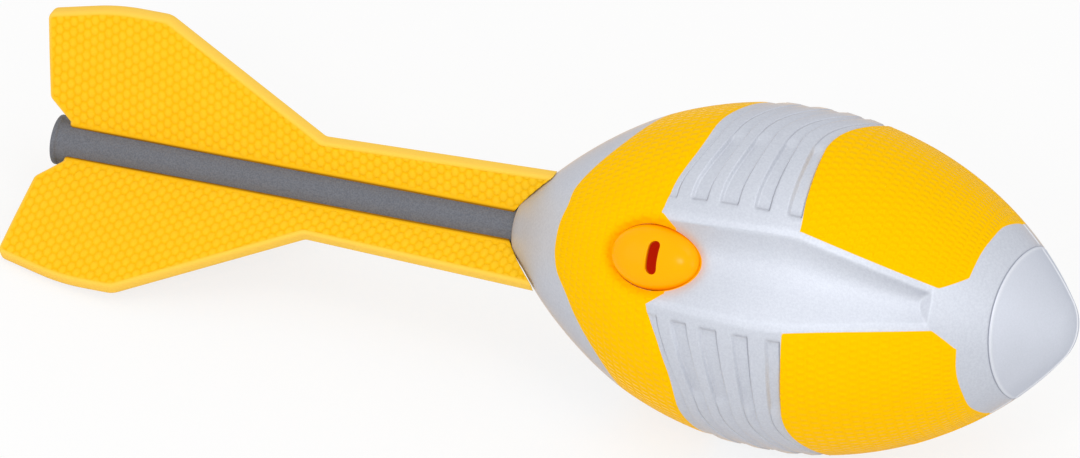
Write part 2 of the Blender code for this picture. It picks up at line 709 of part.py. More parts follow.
def tube_clearance_cutter(cutters):
    """The tube grown by the fit gap, which hollows the fins' feet."""
    side = tube_outer(FIT_GAP)
    points = [(0.0, side[0][1])] + side + [(side[-1][0], -CUTTER_REACH), (0.0, -CUTTER_REACH)]
    guard = turned("tube_clearance", points, cutters)
    return as_cutter(lay_along_axis(guard, TUBE_END_X))


def make_fin(name, roll, group, head_guard, tube_guard):
    """One foam fin: a plate with rounded edges, seated on the tube and against the head."""
    fin = plate(name, fin_outline(), FIN_THICKNESS / 2, group, fin_foam())
    fin.rotation_euler = (math.pi / 2 + roll, 0.0, 0.0)
    fin.location = (HEAD_X + TUBE_END_X, 0.0, 0.0)
    soften = fin.modifiers.new("rounded_edges", "BEVEL")
    soften.width = FIN_EDGE_ROUND
    soften.segments = 2
    soften.limit_method = "ANGLE"
    soften.angle_limit = math.radians(50.0)
    cut(fin, head_guard)
    cut(fin, tube_guard)
    return fin


def build():
    """Model every piece of the football."""
    clear_scene()
    group = new_collection("whistling_football")
    cutters = new_collection("cutters")
    head = make_head(group, cutters)
    make_nose(group)
    make_whistle("right", RIGHT_SIDE, head, group, cutters)
    make_whistle("left", LEFT_SIDE, head, group, cutters)
    make_tube(group)
    make_plug(group)
    make_anchor(group)
    head_guard = head_clearance_cutter(cutters)
    tube_guard = tube_clearance_cutter(cutters)
    for index, name in enumerate(("top_fin", "right_fin", "left_fin")):
        make_fin(name, index * 2 * math.pi / FIN_COUNT, group, head_guard, tube_guard)


build()
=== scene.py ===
"""Looks of the whistling foam football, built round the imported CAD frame.

Lengths are in millimetres until a mesh is made. Along the head, x is measured from its widest
section; along the tail, from the tube's end. An angle round the head is zero in the middle of the
right-hand flute, which looks 30 degrees above the horizontal.
"""

from math import acos, cos, pi, radians, sin, sqrt, tan

import bmesh
import bpy
import numpy as np
from mathutils import Matrix, Vector


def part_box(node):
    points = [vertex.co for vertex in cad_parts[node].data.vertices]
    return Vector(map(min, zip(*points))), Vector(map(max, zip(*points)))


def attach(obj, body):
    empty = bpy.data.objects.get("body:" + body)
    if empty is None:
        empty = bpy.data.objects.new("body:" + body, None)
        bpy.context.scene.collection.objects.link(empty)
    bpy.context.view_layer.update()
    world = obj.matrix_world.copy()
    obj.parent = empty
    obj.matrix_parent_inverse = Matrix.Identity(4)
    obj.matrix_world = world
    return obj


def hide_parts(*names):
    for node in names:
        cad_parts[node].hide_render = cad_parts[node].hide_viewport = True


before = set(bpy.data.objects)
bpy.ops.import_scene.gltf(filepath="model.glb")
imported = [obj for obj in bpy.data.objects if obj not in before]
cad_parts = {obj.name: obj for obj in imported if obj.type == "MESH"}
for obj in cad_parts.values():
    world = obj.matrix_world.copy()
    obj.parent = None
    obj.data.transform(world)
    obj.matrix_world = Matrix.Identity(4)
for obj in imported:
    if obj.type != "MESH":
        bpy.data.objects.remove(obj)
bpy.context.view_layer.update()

MM = 0.001
WELD = 0.002 * MM
WHITE = (255, 255, 255)

# The head's outline: a big arc turned about the axis, with a rounded nose
MID_R = 51.0
WIDEST_R = MID_R - 0.04
ARC_R = 107.5
NOSE_R = 14.3
ARC_DROP = ARC_R - MID_R
NOSE_CENTRE_X = sqrt((ARC_R - NOSE_R) ** 2 - ARC_DROP ** 2)
NOSE_TANGENT_X = NOSE_CENTRE_X * ARC_R / (ARC_R - NOSE_R)
NOSE_TIP_X = NOSE_CENTRE_X + NOSE_R
SEAM_X = NOSE_TIP_X - 17.7
SEAM_BOW = 3.4
SEAM_SETBACK = 1.7
SEAM_EDGE = 0.2
SEAM_GAP = 0.15
SPIGOT_R = 12.0
SPIGOT_GAP = 0.3
SPIGOT_LENGTH = 14.0
REAR_R = 8.0
REAR_X = -sqrt(ARC_R ** 2 - (ARC_DROP + REAR_R) ** 2)
REAR_TUCK = 0.8
HEAD_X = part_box("nose_bumper")[1].x / MM - NOSE_TIP_X

# Scales of the foam skin: their length along the head and their number round it
SCALE_LENGTH = 3.08
SCALES_ROUND = 118

# Grip band: places along the head, and angles from the middle of a flute
GROOVES = (-25.8, -16.0, -6.2, 3.6, 13.4)
RAMPS = (-21.4, -12.2, -1.3, 8.9)
GRIP_START = radians(21.0)
GRIP_WALL = radians(1.7)
GRIP_BREAK = radians(48.8)
GRIP_RAMP = radians(4.6)
GRIP_LEAN = radians(1.3)
POCKET_DEPTH = 0.95
POCKET_DEEPER = 0.35
BAND_FADE_X = (-40.0, 30.0)
LEAN_MIDDLE = 0.9
LEAN_SLOPE = 0.023
CLOSING = 0.197
CLOSING_CENTRE = 8.6
BOW = 8.7
BOW_START = radians(52.0)
BOW_POWER = 2.2

# Flutes and whistles
FLUTE_WIDTH = ((-50.0, 13.0), (-29.5, 14.0), (-14.0, 14.8), (1.5, 15.7), (12.0, 16.0),
               (15.0, 15.6), (55.0, 6.3), (62.0, 10.3), (72.0, 12.0))
FLUTE_FLOOR = ((-50.0, 5.6), (-17.0, 5.6), (51.0, 3.0), (60.0, 3.0))
FLUTE_TUCK = 0.85
FLUTE_SKEW = 0.35
FLUTE_POWER = 2.1
FLUTE_REAR_X = -50.0
FLUTE_DEEP_X = -17.0
FLUTE_END_X = 53.8
FLUTE_END_SLOPE = 0.85
EDGE_WIDTH = 2.2
EDGE_DEPTH = 0.45
SEAT_X = -30.0
SEAT_R = 41.5
SEAT_TILT = radians(8.0)
DOME_LENGTH = 14.4
DOME_WIDTH = 9.7
DOME_HEIGHT = 5.0
DOME_WALL = 1.5
DOME_SKIRT = 3.0
DOME_GAP = 0.3
SEAT_GAP = 0.06
SLOT_HALF = 4.95
SLOT_R = 1.8
SLOT_AHEAD = 1.1
SLOT_BEND = 0.35
LIP_ROUND = 0.2
DISH_DEPTH = 0.5
DISH_BEHIND = 0.9
DISH_REACH = 2.1
CUP_R = 8.2
CUP_BOTTOM = 12.8
# Reach of the painted bounce light: orange painted on the foam and silver round a whistle
PAINTED_BOUNCE_REACH = 2.4
SIDES = (0.0, pi)

# Fine lines of the mould: reaches of their bell curves (the fold's sets the painted shade in the
# creases), heights, and how bright the painted highlight on the bead is
PARTING_WIDTH = 0.4
PARTING_HEIGHT = 0.1
PARTING_NECK_HEIGHT = 0.28
PARTING_NECK_X = 45.0
FOLD_SHADE_WIDTH = 0.16
NOSE_RIDGE_WIDTH = 0.42
BEAD_WIDTH = 0.3
BEAD_HEIGHT = 0.1
BEAD_PAINTED_HIGHLIGHT = 0.35

# The head's mesh: its columns across half a flute, and the window in it round a whistle
FLOOR_COLUMNS = 13
WINDOW_X = (-49.0, -11.0)

# Tail
TUBE_EXPOSED = 147.1
TUBE_END_X = REAR_X - TUBE_EXPOSED
TUBE_LENGTH = 194.0
TUBE_TAIL_R = 6.8
TUBE_HEAD_R = 6.5
TUBE_WALL = 1.5
FLARE_R = 7.0
FLARE_LENGTH = 20.0
LIP_R = 7.5
LIP = 1.6
PLUG_GAP = 0.314
ANCHOR_X = REAR_X + 48.3
ANCHOR_LENGTH = 20.0
ANCHOR_BARBS = 3
ANCHOR_GAP = 0.3

# Fins, and the bumps on them
FIN_THICK = 5.0
FIN_ROUND = 1.3
FIN_SPAN = 48.3
FIN_OVERHANG = 4.05
FIN_ROOT_X = 4.5
FIN_FOOT = 1.4
FIN_FRONT_R = 20.0
FIN_STRIP_R = 20.2
BUMP_LENGTH = 4.45
BUMP_HEIGHT = 3.5
BUMP_NARROW = 1.35
BUMP_DEPTH = 0.34
BUMP_EDGE = 0.7
BUMP_REACH = 2.1

# Corners of a fin, as (x from the trailing edge, height, radius)
FIN_RAKE = (0.8, 30.0, 0.0)
FIN_HOLLOW = (1.9, 15.0, 3.0)
FIN_WAIST = (88.45, 17.2, 2.5)
FIN_CROWN = ((0.0, FIN_SPAN - 5.2, 2.4), (21.2, FIN_SPAN, 60.0), (37.9, FIN_SPAN, 6.0))

# How far each fin is turned round the tube, and how far its tip leans aside and forward
FIN_BENDS = {"top": (0.0, 1.5, 1.9), "right": (radians(120.0), 3.05, 0.0),
             "left": (radians(240.0), -3.05, 0.0)}

# From the upright to the middle of the right-hand flute
HEAD_ROLL = radians(60.0)


def unit(value):
    """A value held between 0 and 1."""
    return np.clip(value, 0.0, 1.0)


def rise(value, start, end):
    """Ease from 0 at start to 1 at end with level ends; start may be the greater of the two."""
    share = unit((value - start) / (end - start))
    return share * share * (3.0 - 2.0 * share)


def bell(distance, reach):
    """A bell curve: 1 on a line, 0.37 at the reach from it."""
    return np.exp(-np.square(distance / reach))


def circle(radius, aside):
    """Height of a circle over a place that lies aside of its centre."""
    return np.sqrt(np.maximum(radius ** 2 - np.square(aside), 0.0))


def blend(first, second, share):
    """Straight on from one value to another by a share of the way."""
    return (1.0 - share) * first + share * second


def turned(first, second, angle):
    """Two lengths at right angles, turned by an angle."""
    c, s = cos(angle), sin(angle)
    return first * c - second * s, first * s + second * c


def table(pairs, at):
    """Straight lines between the pairs of a table, read at many places."""
    return np.interp(at, *zip(*pairs))


def eased(pairs, at):
    """A smooth curve through the pairs of a table: cubics that keep the neighbours' slope."""
    places, values = np.array(pairs, float).T
    slopes = np.gradient(values, places)
    index = np.clip(np.searchsorted(places, at, side="right") - 1, 0, len(places) - 2)
    run = places[index + 1] - places[index]
    share = unit((at - places[index]) / run)
    level = blend(values[index], values[index + 1], rise(share, 0.0, 1.0))
    start = share * np.square(1.0 - share) * slopes[index]
    end = np.square(share) * (share - 1.0) * slopes[index + 1]
    return level + run * (start + end)


def head_radius(x):
    """Radius of the plain head: a big arc's height less its drop, then a round nose."""
    return np.where(x > NOSE_TANGENT_X, circle(NOSE_R, x - NOSE_CENTRE_X), circle(ARC_R, x) - ARC_DROP)


def fold(angle):
    """Any angle round the head as the angle from the nearest flute's middle, 0 to 90 degrees."""
    return np.arccos(unit(np.abs(np.cos(angle))))


def softened(pairs, blur):
    """A table along the head, sampled finely and blurred by a bell curve, as moulded foam is."""
    step, reach = 0.05, 1.5
    fine = np.arange(*BAND_FADE_X, step)
    weights = np.exp(-0.5 * (np.arange(-reach, reach + 0.001, step) / blur) ** 2)
    return fine, np.convolve(table(pairs, fine), weights / weights.sum(), "same")


def pocket_table():
    """Depths along the band low on its sides: a wall up to each bar, the bar, a ramp, a pocket."""
    start, end = BAND_FADE_X
    first_depth, groove_depth, ramp_width = 0.5, 0.4, 1.0
    pairs = [(start, 0.0), (-30.4, 0.0), (-28.6, first_depth)]
    for index, groove in enumerate(GROOVES):
        behind = POCKET_DEPTH if index else first_depth
        pairs += [(groove - 0.35, behind), (groove - 0.1, behind + groove_depth), (groove + 0.2, 0.0)]
        if index < len(RAMPS):
            pairs += [(RAMPS[index], 0.0), (RAMPS[index] + ramp_width, POCKET_DEPTH)]
    return pairs + [(end, 0.0)]


def rib_table():
    """Depths along the band near the parting line: each bar steps up at its groove and falls away
    towards the next, with a fine line where the ramp was."""
    start, end = BAND_FADE_X
    rib_depth, rib_crest, line_depth, half = 0.85, -0.1, 0.6, 0.35
    pairs = [(start, 0.0), (-30.5, 0.0)]
    for index, groove in enumerate(GROOVES):
        pairs += [(groove - half, rib_depth), (groove + 0.3, rib_crest)]
        if index < len(RAMPS):
            line = RAMPS[index] + 0.4
            pairs += [(line - half, 0.12), (line, line_depth), (line + half, line_depth / 2)]
    return pairs + [(GROOVES[-1] + 1.2, 0.0), (end, 0.0)]


POCKETS = softened(pocket_table(), 0.11)
RIBS = softened(rib_table(), 0.13)


def lean(station, angle):
    """How far the pattern leans to the rear above a flute and forward below it."""
    share = rise(fold(angle), 0.3, 0.54)
    fade = rise(station, -80.0, -68.0) * rise(station, 69.0, 57.0)
    return (LEAN_MIDDLE - LEAN_SLOPE * station) * np.sin(2.0 * angle) * share * fade


def laid(station, angle):
    """Where a station of the moulded pattern lies along the head. The bars close up towards the
    nose away from the flute, then run forward near the parting line as a power of a sine; the
    seam bows by a squared sine."""
    side = fold(angle)
    fade = rise(station, -44.0, -28.0) * rise(station, 52.0, 14.0)
    closing = CLOSING * (CLOSING_CENTRE - station) * rise(side, 0.36, 0.99)
    share = unit((side - BOW_START) / (pi / 2 - BOW_START))
    strongest = np.maximum(1.18 - 0.35 * np.square((station + 5.0) / 20.0), 0.0)
    bow = BOW * np.sin(0.5 * pi * share) ** BOW_POWER * strongest
    ahead = seam_bow(angle) * rise(station, 56.0, 68.0)
    return station + (closing + bow) * fade - lean(station, angle) + ahead


def seam_bow(angle):
    """The seam round the nose lies further forward at the parting line: a squared sine."""
    return SEAM_BOW * np.square(np.sin(angle)) - SEAM_SETBACK


def flute_width(station, below):
    """Half width of a flute's paint and bevel, as an arc; it is tucked in a little on its lower
    edge, beside the yellow patch."""
    tuck = FLUTE_TUCK * rise(station, 2.0, 14.0) * rise(station, 58.0, 14.0)
    return table(FLUTE_WIDTH, station) - np.where(below, tuck, 0.0)


def beside_whistle(station, angle):
    """Distance outside the whistle's oval, in the plane of length and arc."""
    along = (station - SEAT_X) / DOME_LENGTH
    across = fold(angle) * head_radius(station) / DOME_WIDTH
    reach = np.maximum(np.hypot(along, across), 1e-6)
    return (reach - 1.0) / reach * np.hypot(along * DOME_LENGTH, across * DOME_WIDTH)


def flute_relief(station, angle):
    """Depth of the flutes: a narrow bevelled border, then a trough that is steep beside the border
    and nearly flat in the middle, a little deeper towards its upper edge; it fades out at the
    whistle and ends in a wall at the nose."""
    arc = fold(angle) * head_radius(station)
    below = np.sin(2.0 * angle) < 0.0
    width = flute_width(station, below)
    inner = width - EDGE_WIDTH
    side = unit(arc / inner)
    deeper = 1.0 + FLUTE_SKEW * np.where(below, -side, side)
    hollow = (table(FLUTE_FLOOR, station) - EDGE_DEPTH) * (1.0 - side ** FLUTE_POWER)
    border = EDGE_DEPTH * unit((width - arc) / EDGE_WIDTH)
    depth = np.where(arc < inner, EDGE_DEPTH + hollow * deeper, border)
    depth = depth * rise(station, FLUTE_REAR_X, FLUTE_DEEP_X)
    return np.minimum(depth, np.maximum(FLUTE_END_X - station, 0.0) * FLUTE_END_SLOPE)


def whistle_relief(station, angle):
    """The foam rolls down into the gap round a whistle: a soft dish and a small rounded lip."""
    beside = np.maximum(beside_whistle(station, angle), 0.0)
    lip = LIP_ROUND - circle(LIP_ROUND, np.maximum(LIP_ROUND - beside, 0.0))
    behind = rise(station, SEAT_X + 6.0, SEAT_X - 10.0)
    return lip + (DISH_DEPTH + DISH_BEHIND * behind) * bell(beside, DISH_REACH)


def grip_side(angle):
    """The angle from the flute in the grip band, which leans a little at its start and break."""
    return fold(angle) - GRIP_LEAN * np.sign(np.sin(2.0 * angle))


def grip_relief(station, angle):
    """Pockets between the bars, deeper towards the break, then ribs up to the parting line."""
    side = grip_side(angle)
    high = unit((side - GRIP_BREAK) / GRIP_RAMP)
    low = rise(side, GRIP_START, GRIP_START + GRIP_WALL) * (1.0 - high)
    low = low * (1.0 + POCKET_DEEPER * rise(side, GRIP_START, GRIP_BREAK))
    return low * np.interp(station, *POCKETS) + high * np.interp(station, *RIBS)


def crease(station, angle):
    """How deep in a fold a place is, for the painted shade there: a bell curve at each groove's foot,
    and above the break also at each fine line."""
    side = grip_side(angle)
    high = rise(side, GRIP_BREAK, GRIP_BREAK + GRIP_RAMP)
    low = rise(side, GRIP_START, GRIP_START + GRIP_WALL)
    foot = sum(bell(station - groove + 0.15, FOLD_SHADE_WIDTH) for groove in GROOVES)
    line = sum(bell(station - ramp - 0.4, FOLD_SHADE_WIDTH) for ramp in RAMPS)
    fading = 1.0 - 0.6 * rise(side, 1.0, 1.4)
    return unit(low * foot * (1.0 - 0.3 * high) + 0.6 * high * line) * fading


def parting(station, angle):
    """How near the fine raised parting line a place is: a bell curve across it."""
    return bell((pi / 2 - fold(angle)) * head_radius(station), PARTING_WIDTH)


def relief(station, angle):
    """All that is let into the head, and its slimmer rear, less the fine raised parting line."""
    height = np.where(station > PARTING_NECK_X, PARTING_NECK_HEIGHT, PARTING_HEIGHT)
    let_in = sum(each(station, angle) for each in (flute_relief, whistle_relief, grip_relief))
    tuck = REAR_TUCK * rise(station, -42.0, -70.0) * rise(station, REAR_X, REAR_X + 6.0)
    return let_in + tuck - height * parting(station, angle)


def rolled(x, across, out):
    """Local points of the head (length, across, out of the flute) as points of the frame."""
    return np.stack(np.broadcast_arrays(x + HEAD_X, *turned(across, out, HEAD_ROLL)), -1)


def ring(x, radius, turns):
    """Points round the axis, at angles from the middle of the right-hand flute."""
    return rolled(x, radius * np.sin(turns), radius * np.cos(turns))


def rings(pairs, turns):
    """A profile of (x, radius) carried round the axis."""
    return np.stack([ring(x, radius, turns) for x, radius in pairs])


def head_points(station, angle):
    """Points of the skin where the pattern lies: the plain outline's radius less the relief, never
    past the widest."""
    x = laid(station, angle)
    return ring(x, np.minimum(head_radius(x) - relief(station, angle), WIDEST_R), angle)


# Where the silver paint ends, as (degrees from the flute, place along the head)
BAND_REAR = ((0.0, -29.9), (17.0, -29.4), (24.0, -28.2), (40.0, -28.3), (50.0, -29.3),
             (60.0, -29.9), (75.0, -30.0), (90.0, -29.9))
BAND_FRONT = ((0.0, 13.9), (22.0, 13.9), (30.0, 13.5), (45.0, 13.1), (65.0, 13.1), (90.0, 13.4))
COLLAR = ((0.0, -65.5), (8.0, -65.3), (15.0, -64.5), (25.0, -62.5), (35.0, -59.5), (44.0, -55.6),
          (50.0, -52.6), (56.0, -49.8), (65.0, -46.8), (75.0, -44.8), (90.0, -43.2))
NECK = ((0.0, 61.6), (22.0, 61.9), (36.0, 62.4), (50.0, 63.4), (63.0, 64.1), (75.0, 65.3),
        (90.0, 66.5))

# The silver of the flute starts at a straight edge whose corners are cut off aslant
SILVER_REAR_X = -29.5
SILVER_HALF = 14.0
SILVER_CUT = 3.8
SILVER_SLANT = 1.37
WHISTLE_MARGIN = 0.7


def paint_edge(station, angle):
    """Distance into the silver paint, in millimetres: the band, the flutes, the neck, the collar."""
    side = np.degrees(fold(angle))
    arc = np.radians(side) * head_radius(station)
    cut = np.clip(SILVER_HALF - arc, 0.0, SILVER_CUT) * SILVER_SLANT
    corner = (station - SILVER_REAR_X - cut) * 0.6
    band = np.minimum(station - eased(BAND_REAR, side), eased(BAND_FRONT, side) - station)
    band = np.minimum(band, np.maximum(arc - SILVER_HALF + 0.4, corner))
    flute = np.minimum(flute_width(station, np.sin(2.0 * angle) < 0.0) - arc, corner)
    silver = np.minimum(np.maximum(band, flute), beside_whistle(station, angle) - WHISTLE_MARGIN)
    x = laid(station, angle) + lean(station, angle)
    silver = np.maximum(silver, x - eased(NECK, side))
    return np.maximum(silver, eased(COLLAR, side) - x)


# What the head's finish reads at each point, with its value in the pockets and inside the head
# The values after the paint are painted light: painted bounce light round a whistle, painted shade in the
# creases and a painted highlight on the parting ridge
HEAD_VALUES = {"paint": (-1.0, 1.0), "glow": (1.0, 0.0), "crease": (0.0, 0.0), "ridge": (0.0, 0.0)}


def head_values(station, angle):
    """The values of the skin's points, in the order of HEAD_VALUES."""
    # Painted highlight along the parting ridge, from the neck forward
    ridge = parting(station, angle) * rise(station, PARTING_NECK_X, PARTING_NECK_X + 10.0)
    # Painted bounce light round a whistle, strongest at its rim and full in the pocket
    glow = bell(np.maximum(beside_whistle(station, angle), 0.0), PAINTED_BOUNCE_REACH)
    return paint_edge(station, angle), glow, crease(station, angle), ridge


def grid_faces(rows, columns, start=0, around=True, over=False):
    """Four-cornered faces of a grid of points, joined round its columns, its rows, or neither."""
    down = np.arange(rows if over else rows - 1)[:, None]
    along = np.arange(columns if around else columns - 1)[None, :]
    low, high = down * columns, (down + 1) % rows * columns
    here, there = along, (along + 1) % columns
    corners = np.broadcast_arrays(low + here, low + there, high + there, high + here)
    return start + np.stack(corners, -1).reshape(-1, 4)


def placed(name, data):
    """A new object in the scene."""
    thing = bpy.data.objects.new(name, data)
    bpy.context.scene.collection.objects.link(thing)
    return thing


def make_piece(name, points, faces, finish, values=None):
    """A mesh object from points in millimetres, welded where its parts meet and facing outwards."""
    mesh = bpy.data.meshes.new(name)
    mesh.from_pydata((points.reshape(-1, 3) * MM).tolist(), [], faces.tolist())
    for label, numbers in (values or {}).items():
        column = mesh.attributes.new(label, "FLOAT", "POINT")
        column.data.foreach_set("value", numbers.astype(np.float32).ravel())
    work = bmesh.new()
    work.from_mesh(mesh)
    bmesh.ops.remove_doubles(work, verts=work.verts, dist=WELD)
    bmesh.ops.dissolve_degenerate(work, edges=work.edges, dist=WELD / 4)
    bmesh.ops.recalc_face_normals(work, faces=work.faces)
    work.to_mesh(mesh)
    work.free()
    mesh.shade_smooth()
    mesh.materials.append(finish)
    return placed(name, mesh)


class Socket:
    """A shader number that works in Python sums: every operator adds one Math node."""

    def __init__(self, finish, link):
        self.finish, self.link = finish, link

    def sum(self, operation, *others):
        return self.finish.maths(operation, self, *others)

    def __add__(self, other):
        return self.sum("ADD", other)

    def __sub__(self, other):
        return self.sum("SUBTRACT", other)

    def __rsub__(self, other):
        return self.finish.maths("SUBTRACT", other, self)

    def __mul__(self, other):
        return self.sum("MULTIPLY", other)

    def __truediv__(self, other):
        return self.sum("DIVIDE", other)

    __radd__ = __add__


class Nodes:
    """The nodes of a material or of the world."""

    def __init__(self, tree):
        self.tree = tree

    def set(self, made, sockets):
        """Give a node's sockets their values or links; a name's underscores stand for spaces, and
        three numbers are a colour as it looks."""
        for name, value in sockets.items():
            socket = made.inputs[int(name[1:]) if name[1:].isdigit() else name.replace("_", " ")]
            if isinstance(value, Socket):
                self.tree.links.new(value.link, socket)
            else:
                socket.default_value = seen(value) if isinstance(value, tuple) else value

    def node(self, kind, settings=None, output=0, **sockets):
        """One node: its type, its settings first, then its sockets; returns one output."""
        made = self.tree.nodes.new("ShaderNode" + kind)
        for name, value in (settings or {}).items():
            setattr(made, name, value)
        self.set(made, sockets)
        return Socket(self, made.outputs[output])

    def maths(self, operation, *values):
        return self.node("Math", {"operation": operation}, **{f"_{i}": v for i, v in enumerate(values)})

    def between(self, value, low, high):
        """Ease from 0 at low to 1 at high."""
        return self.node("MapRange", {"interpolation_type": "SMOOTHSTEP"}, Value=value,
                         From_Min=low, From_Max=high)

    def mix(self, share, first, second):
        """Blend two colours."""
        return self.node("Mix", {"data_type": "RGBA"}, output=2, _0=share, _6=first, _7=second)

    def see_white(self):
        """One for what the camera, reflections and clear things see directly, nought for light."""
        camera, glossy, clear = (self.node("LightPath", output=f"Is {kind} Ray")
                                 for kind in ("Camera", "Glossy", "Transmission"))
        return self.maths("MAXIMUM", self.maths("MAXIMUM", camera, glossy), clear)

    def show(self, output, share, lit, white):
        """Send a mix of a lit shader and a plain white one to the tree's output."""
        mixed = self.node("MixShader", _0=share, _1=lit, _2=white)
        self.tree.links.new(mixed.link, self.tree.nodes[output].inputs[0])


class Finish(Nodes):
    """A procedural material: a Principled shader and the nodes that feed it."""

    def __init__(self, name, **settings):
        self.material = bpy.data.materials.new(name)
        self.material.use_nodes = True
        super().__init__(self.material.node_tree)
        self.shader = self.tree.nodes["Principled BSDF"]
        self.where = self.node("TexCoord", output=3)
        self.set(self.shader, settings)

    def done(self, **sockets):
        """Feed the shader and return the material."""
        self.set(self.shader, sockets)
        return self.material

    def read(self, label):
        """A number that the mesh holds at each point."""
        return self.node("Attribute", {"attribute_name": label}, output=2)

    def noise(self, size, detail=2.0, roughness=0.5):
        """Cloudy noise whose lumps are about size millimetres across."""
        return self.node("TexNoise", Vector=self.where, Scale=1.0 / (size * MM), Detail=detail,
                         Roughness=roughness)

    def bump(self, height, depth, **below):
        """A bump of a depth in millimetres for a height of 0 to 1."""
        return self.node("Bump", Height=height, Distance=depth * MM, Strength=1.0, **below)


def seen(colour):
    """A colour given as it looks, 0 to 255, as a linear colour."""
    shares = [c / 255.0 for c in colour]
    return [c / 12.92 if c <= 0.04045 else ((c + 0.055) / 1.055) ** 2.4 for c in shares] + [1.0]


def head_finish():
    """Yellow foam skin with fine scales in rows round the head, silver paint where the paint
    attribute says so, and painted light on both: painted bounce light makes them a little warmer
    beside a whistle, painted shade darkens the creases of the grip band, and a painted highlight
    runs along the parting ridge."""
    finish = Finish("foam_skin_and_silver", IOR=1.06, Sheen_Weight=0.6, Sheen_Roughness=0.28,
                    Sheen_Tint=(255, 214, 150), Specular_Tint=(170, 175, 190))
    x, y, z = (finish.node("SeparateXYZ", output=i, Vector=finish.where) / MM for i in range(3))
    edge, painted_bounce_share, painted_fold_shade, ridge = map(finish.read, HEAD_VALUES)
    silver = finish.between(edge + (finish.noise(0.6) - 0.5) * 0.12, -0.08, 0.08)
    along = finish.maths("ARCSINE", (x - HEAD_X) / ARC_R) * (ARC_R / SCALE_LENGTH) + 50.0
    around = finish.maths("ARCTAN2", z, y) * SCALES_ROUND
    column = finish.maths("FRACT", along)
    row = finish.maths("FLOOR", along) * 0.5
    inside = finish.between(column, 0.02, 0.3) * (1.0 - finish.between(column, 0.72, 1.0))
    skin = finish.between(edge, -0.2, -1.2)
    scales = inside * (finish.maths("SINE", around + row * 2.0 * pi) * 0.5 + 0.5) * skin
    grain = finish.noise(0.35, 3.0)
    yellow = finish.mix(scales * 0.3 + finish.noise(9.0) * 0.3, (252, 191, 0), (255, 200, 1))
    # Painted bounce light: the yellow turns orange beside a whistle
    yellow = finish.mix(painted_bounce_share * 0.8, yellow, (255, 158, 0))
    speck = finish.between(finish.noise(0.7, 3.0, 0.65), 0.3, 0.7)
    paint = finish.mix(speck, (197, 201, 211), (206, 210, 219))
    # Painted bounce light: the silver turns peach beside a whistle
    paint = finish.mix(painted_bounce_share * 0.6, paint, (228, 190, 172))
    # Painted shade: the silver darkens in the creases at the grooves' feet and at the fine lines
    paint = finish.mix(painted_fold_shade * 0.6, paint, (128, 132, 142))
    # Painted highlight: the silver turns nearly white on the parting ridge
    paint = finish.mix(ridge * 0.9, paint, (250, 251, 254))
    return finish.done(Base_Color=finish.mix(silver, yellow, paint), Metallic=silver * 0.65,
                       Roughness=0.6 - silver * 0.08 + grain * 0.06,
                       Normal=finish.bump(grain, 0.035, Normal=finish.bump(scales, 0.24)))


def silver_finish():
    """Satin silver paint on smooth foam, as on the nose, with a painted highlight along the parting ridge
    and the seam's bead.
    """
    finish = Finish("nose_silver", IOR=1.06, Metallic=0.65, Specular_Tint=(190, 195, 208))
    grain = finish.noise(0.35, 3.0)
    paint = finish.mix(finish.noise(0.5, 4.0), (200, 204, 214), (212, 216, 226))
    # Painted highlight: the paint turns nearly white on the parting ridge and the seam's bead
    return finish.done(Base_Color=finish.mix(finish.read("ridge") * 0.9, paint, (250, 251, 254)),
                       Roughness=0.52 + grain * 0.06, Normal=finish.bump(grain, 0.02))


def moulding(name, ior, colours, clouds, grain, rough, depth=0.0, edges=None, **settings):
    """Plain plastic: two colours mixed by clouds, sharpened between edges if they are given, and a
    grain that shows in the roughness (its least value and its span) and as a bump."""
    finish = Finish(name, IOR=ior, **settings)
    share, fine = finish.noise(*clouds), finish.noise(*grain)
    if edges:
        share = finish.between(share, *edges)
    if depth:
        finish.done(Normal=finish.bump(fine, depth))
    return finish.done(Base_Color=finish.mix(share, *colours), Roughness=rough[0] + fine * rough[1])


def dome_finish():
    """Glossy orange moulding."""
    return moulding("whistle_orange_gloss", 1.16, ((255, 168, 0), (255, 178, 1)), (12.0, 1.0), (2.0,),
                    (0.16, 0.04))


def cup_finish():
    """Deep orange-red inside of the whistles, made to glow by a weak emission: painted light."""
    return moulding("whistle_cup_red_painted_glow", 1.4, ((190, 30, 8), (214, 48, 10)), (5.0,), (1.0,), (0.45, 0.1),
                    # Painted light: a weak orange emission makes the shaded inside of the cup glow
                    Emission_Color=(165, 36, 6), Emission_Strength=0.5)


def tube_finish():
    """Mid-grey moulding with a fine spark-eroded grain."""
    grain = (0.45, 3.0, 0.6)
    return moulding("tube_grey_grain", 1.35, ((95, 98, 106), (111, 114, 122)), grain, grain,
                    (0.55, 0.12), 0.05, (0.35, 0.65))


def plug_finish():
    """Darker grey moulding."""
    grain = (0.4, 3.0)
    return moulding("plug_grey", 1.35, ((80, 82, 87), (92, 94, 99)), grain, grain, (0.5, 0.1), 0.03)


def anchor_finish():
    """Unpainted natural plastic of the hidden anchor."""
    grain = (1.5, 3.0)
    return moulding("anchor_natural_plastic", 1.45, ((200, 198, 190), (212, 210, 203)), grain, grain,
                    (0.45, 0.1))


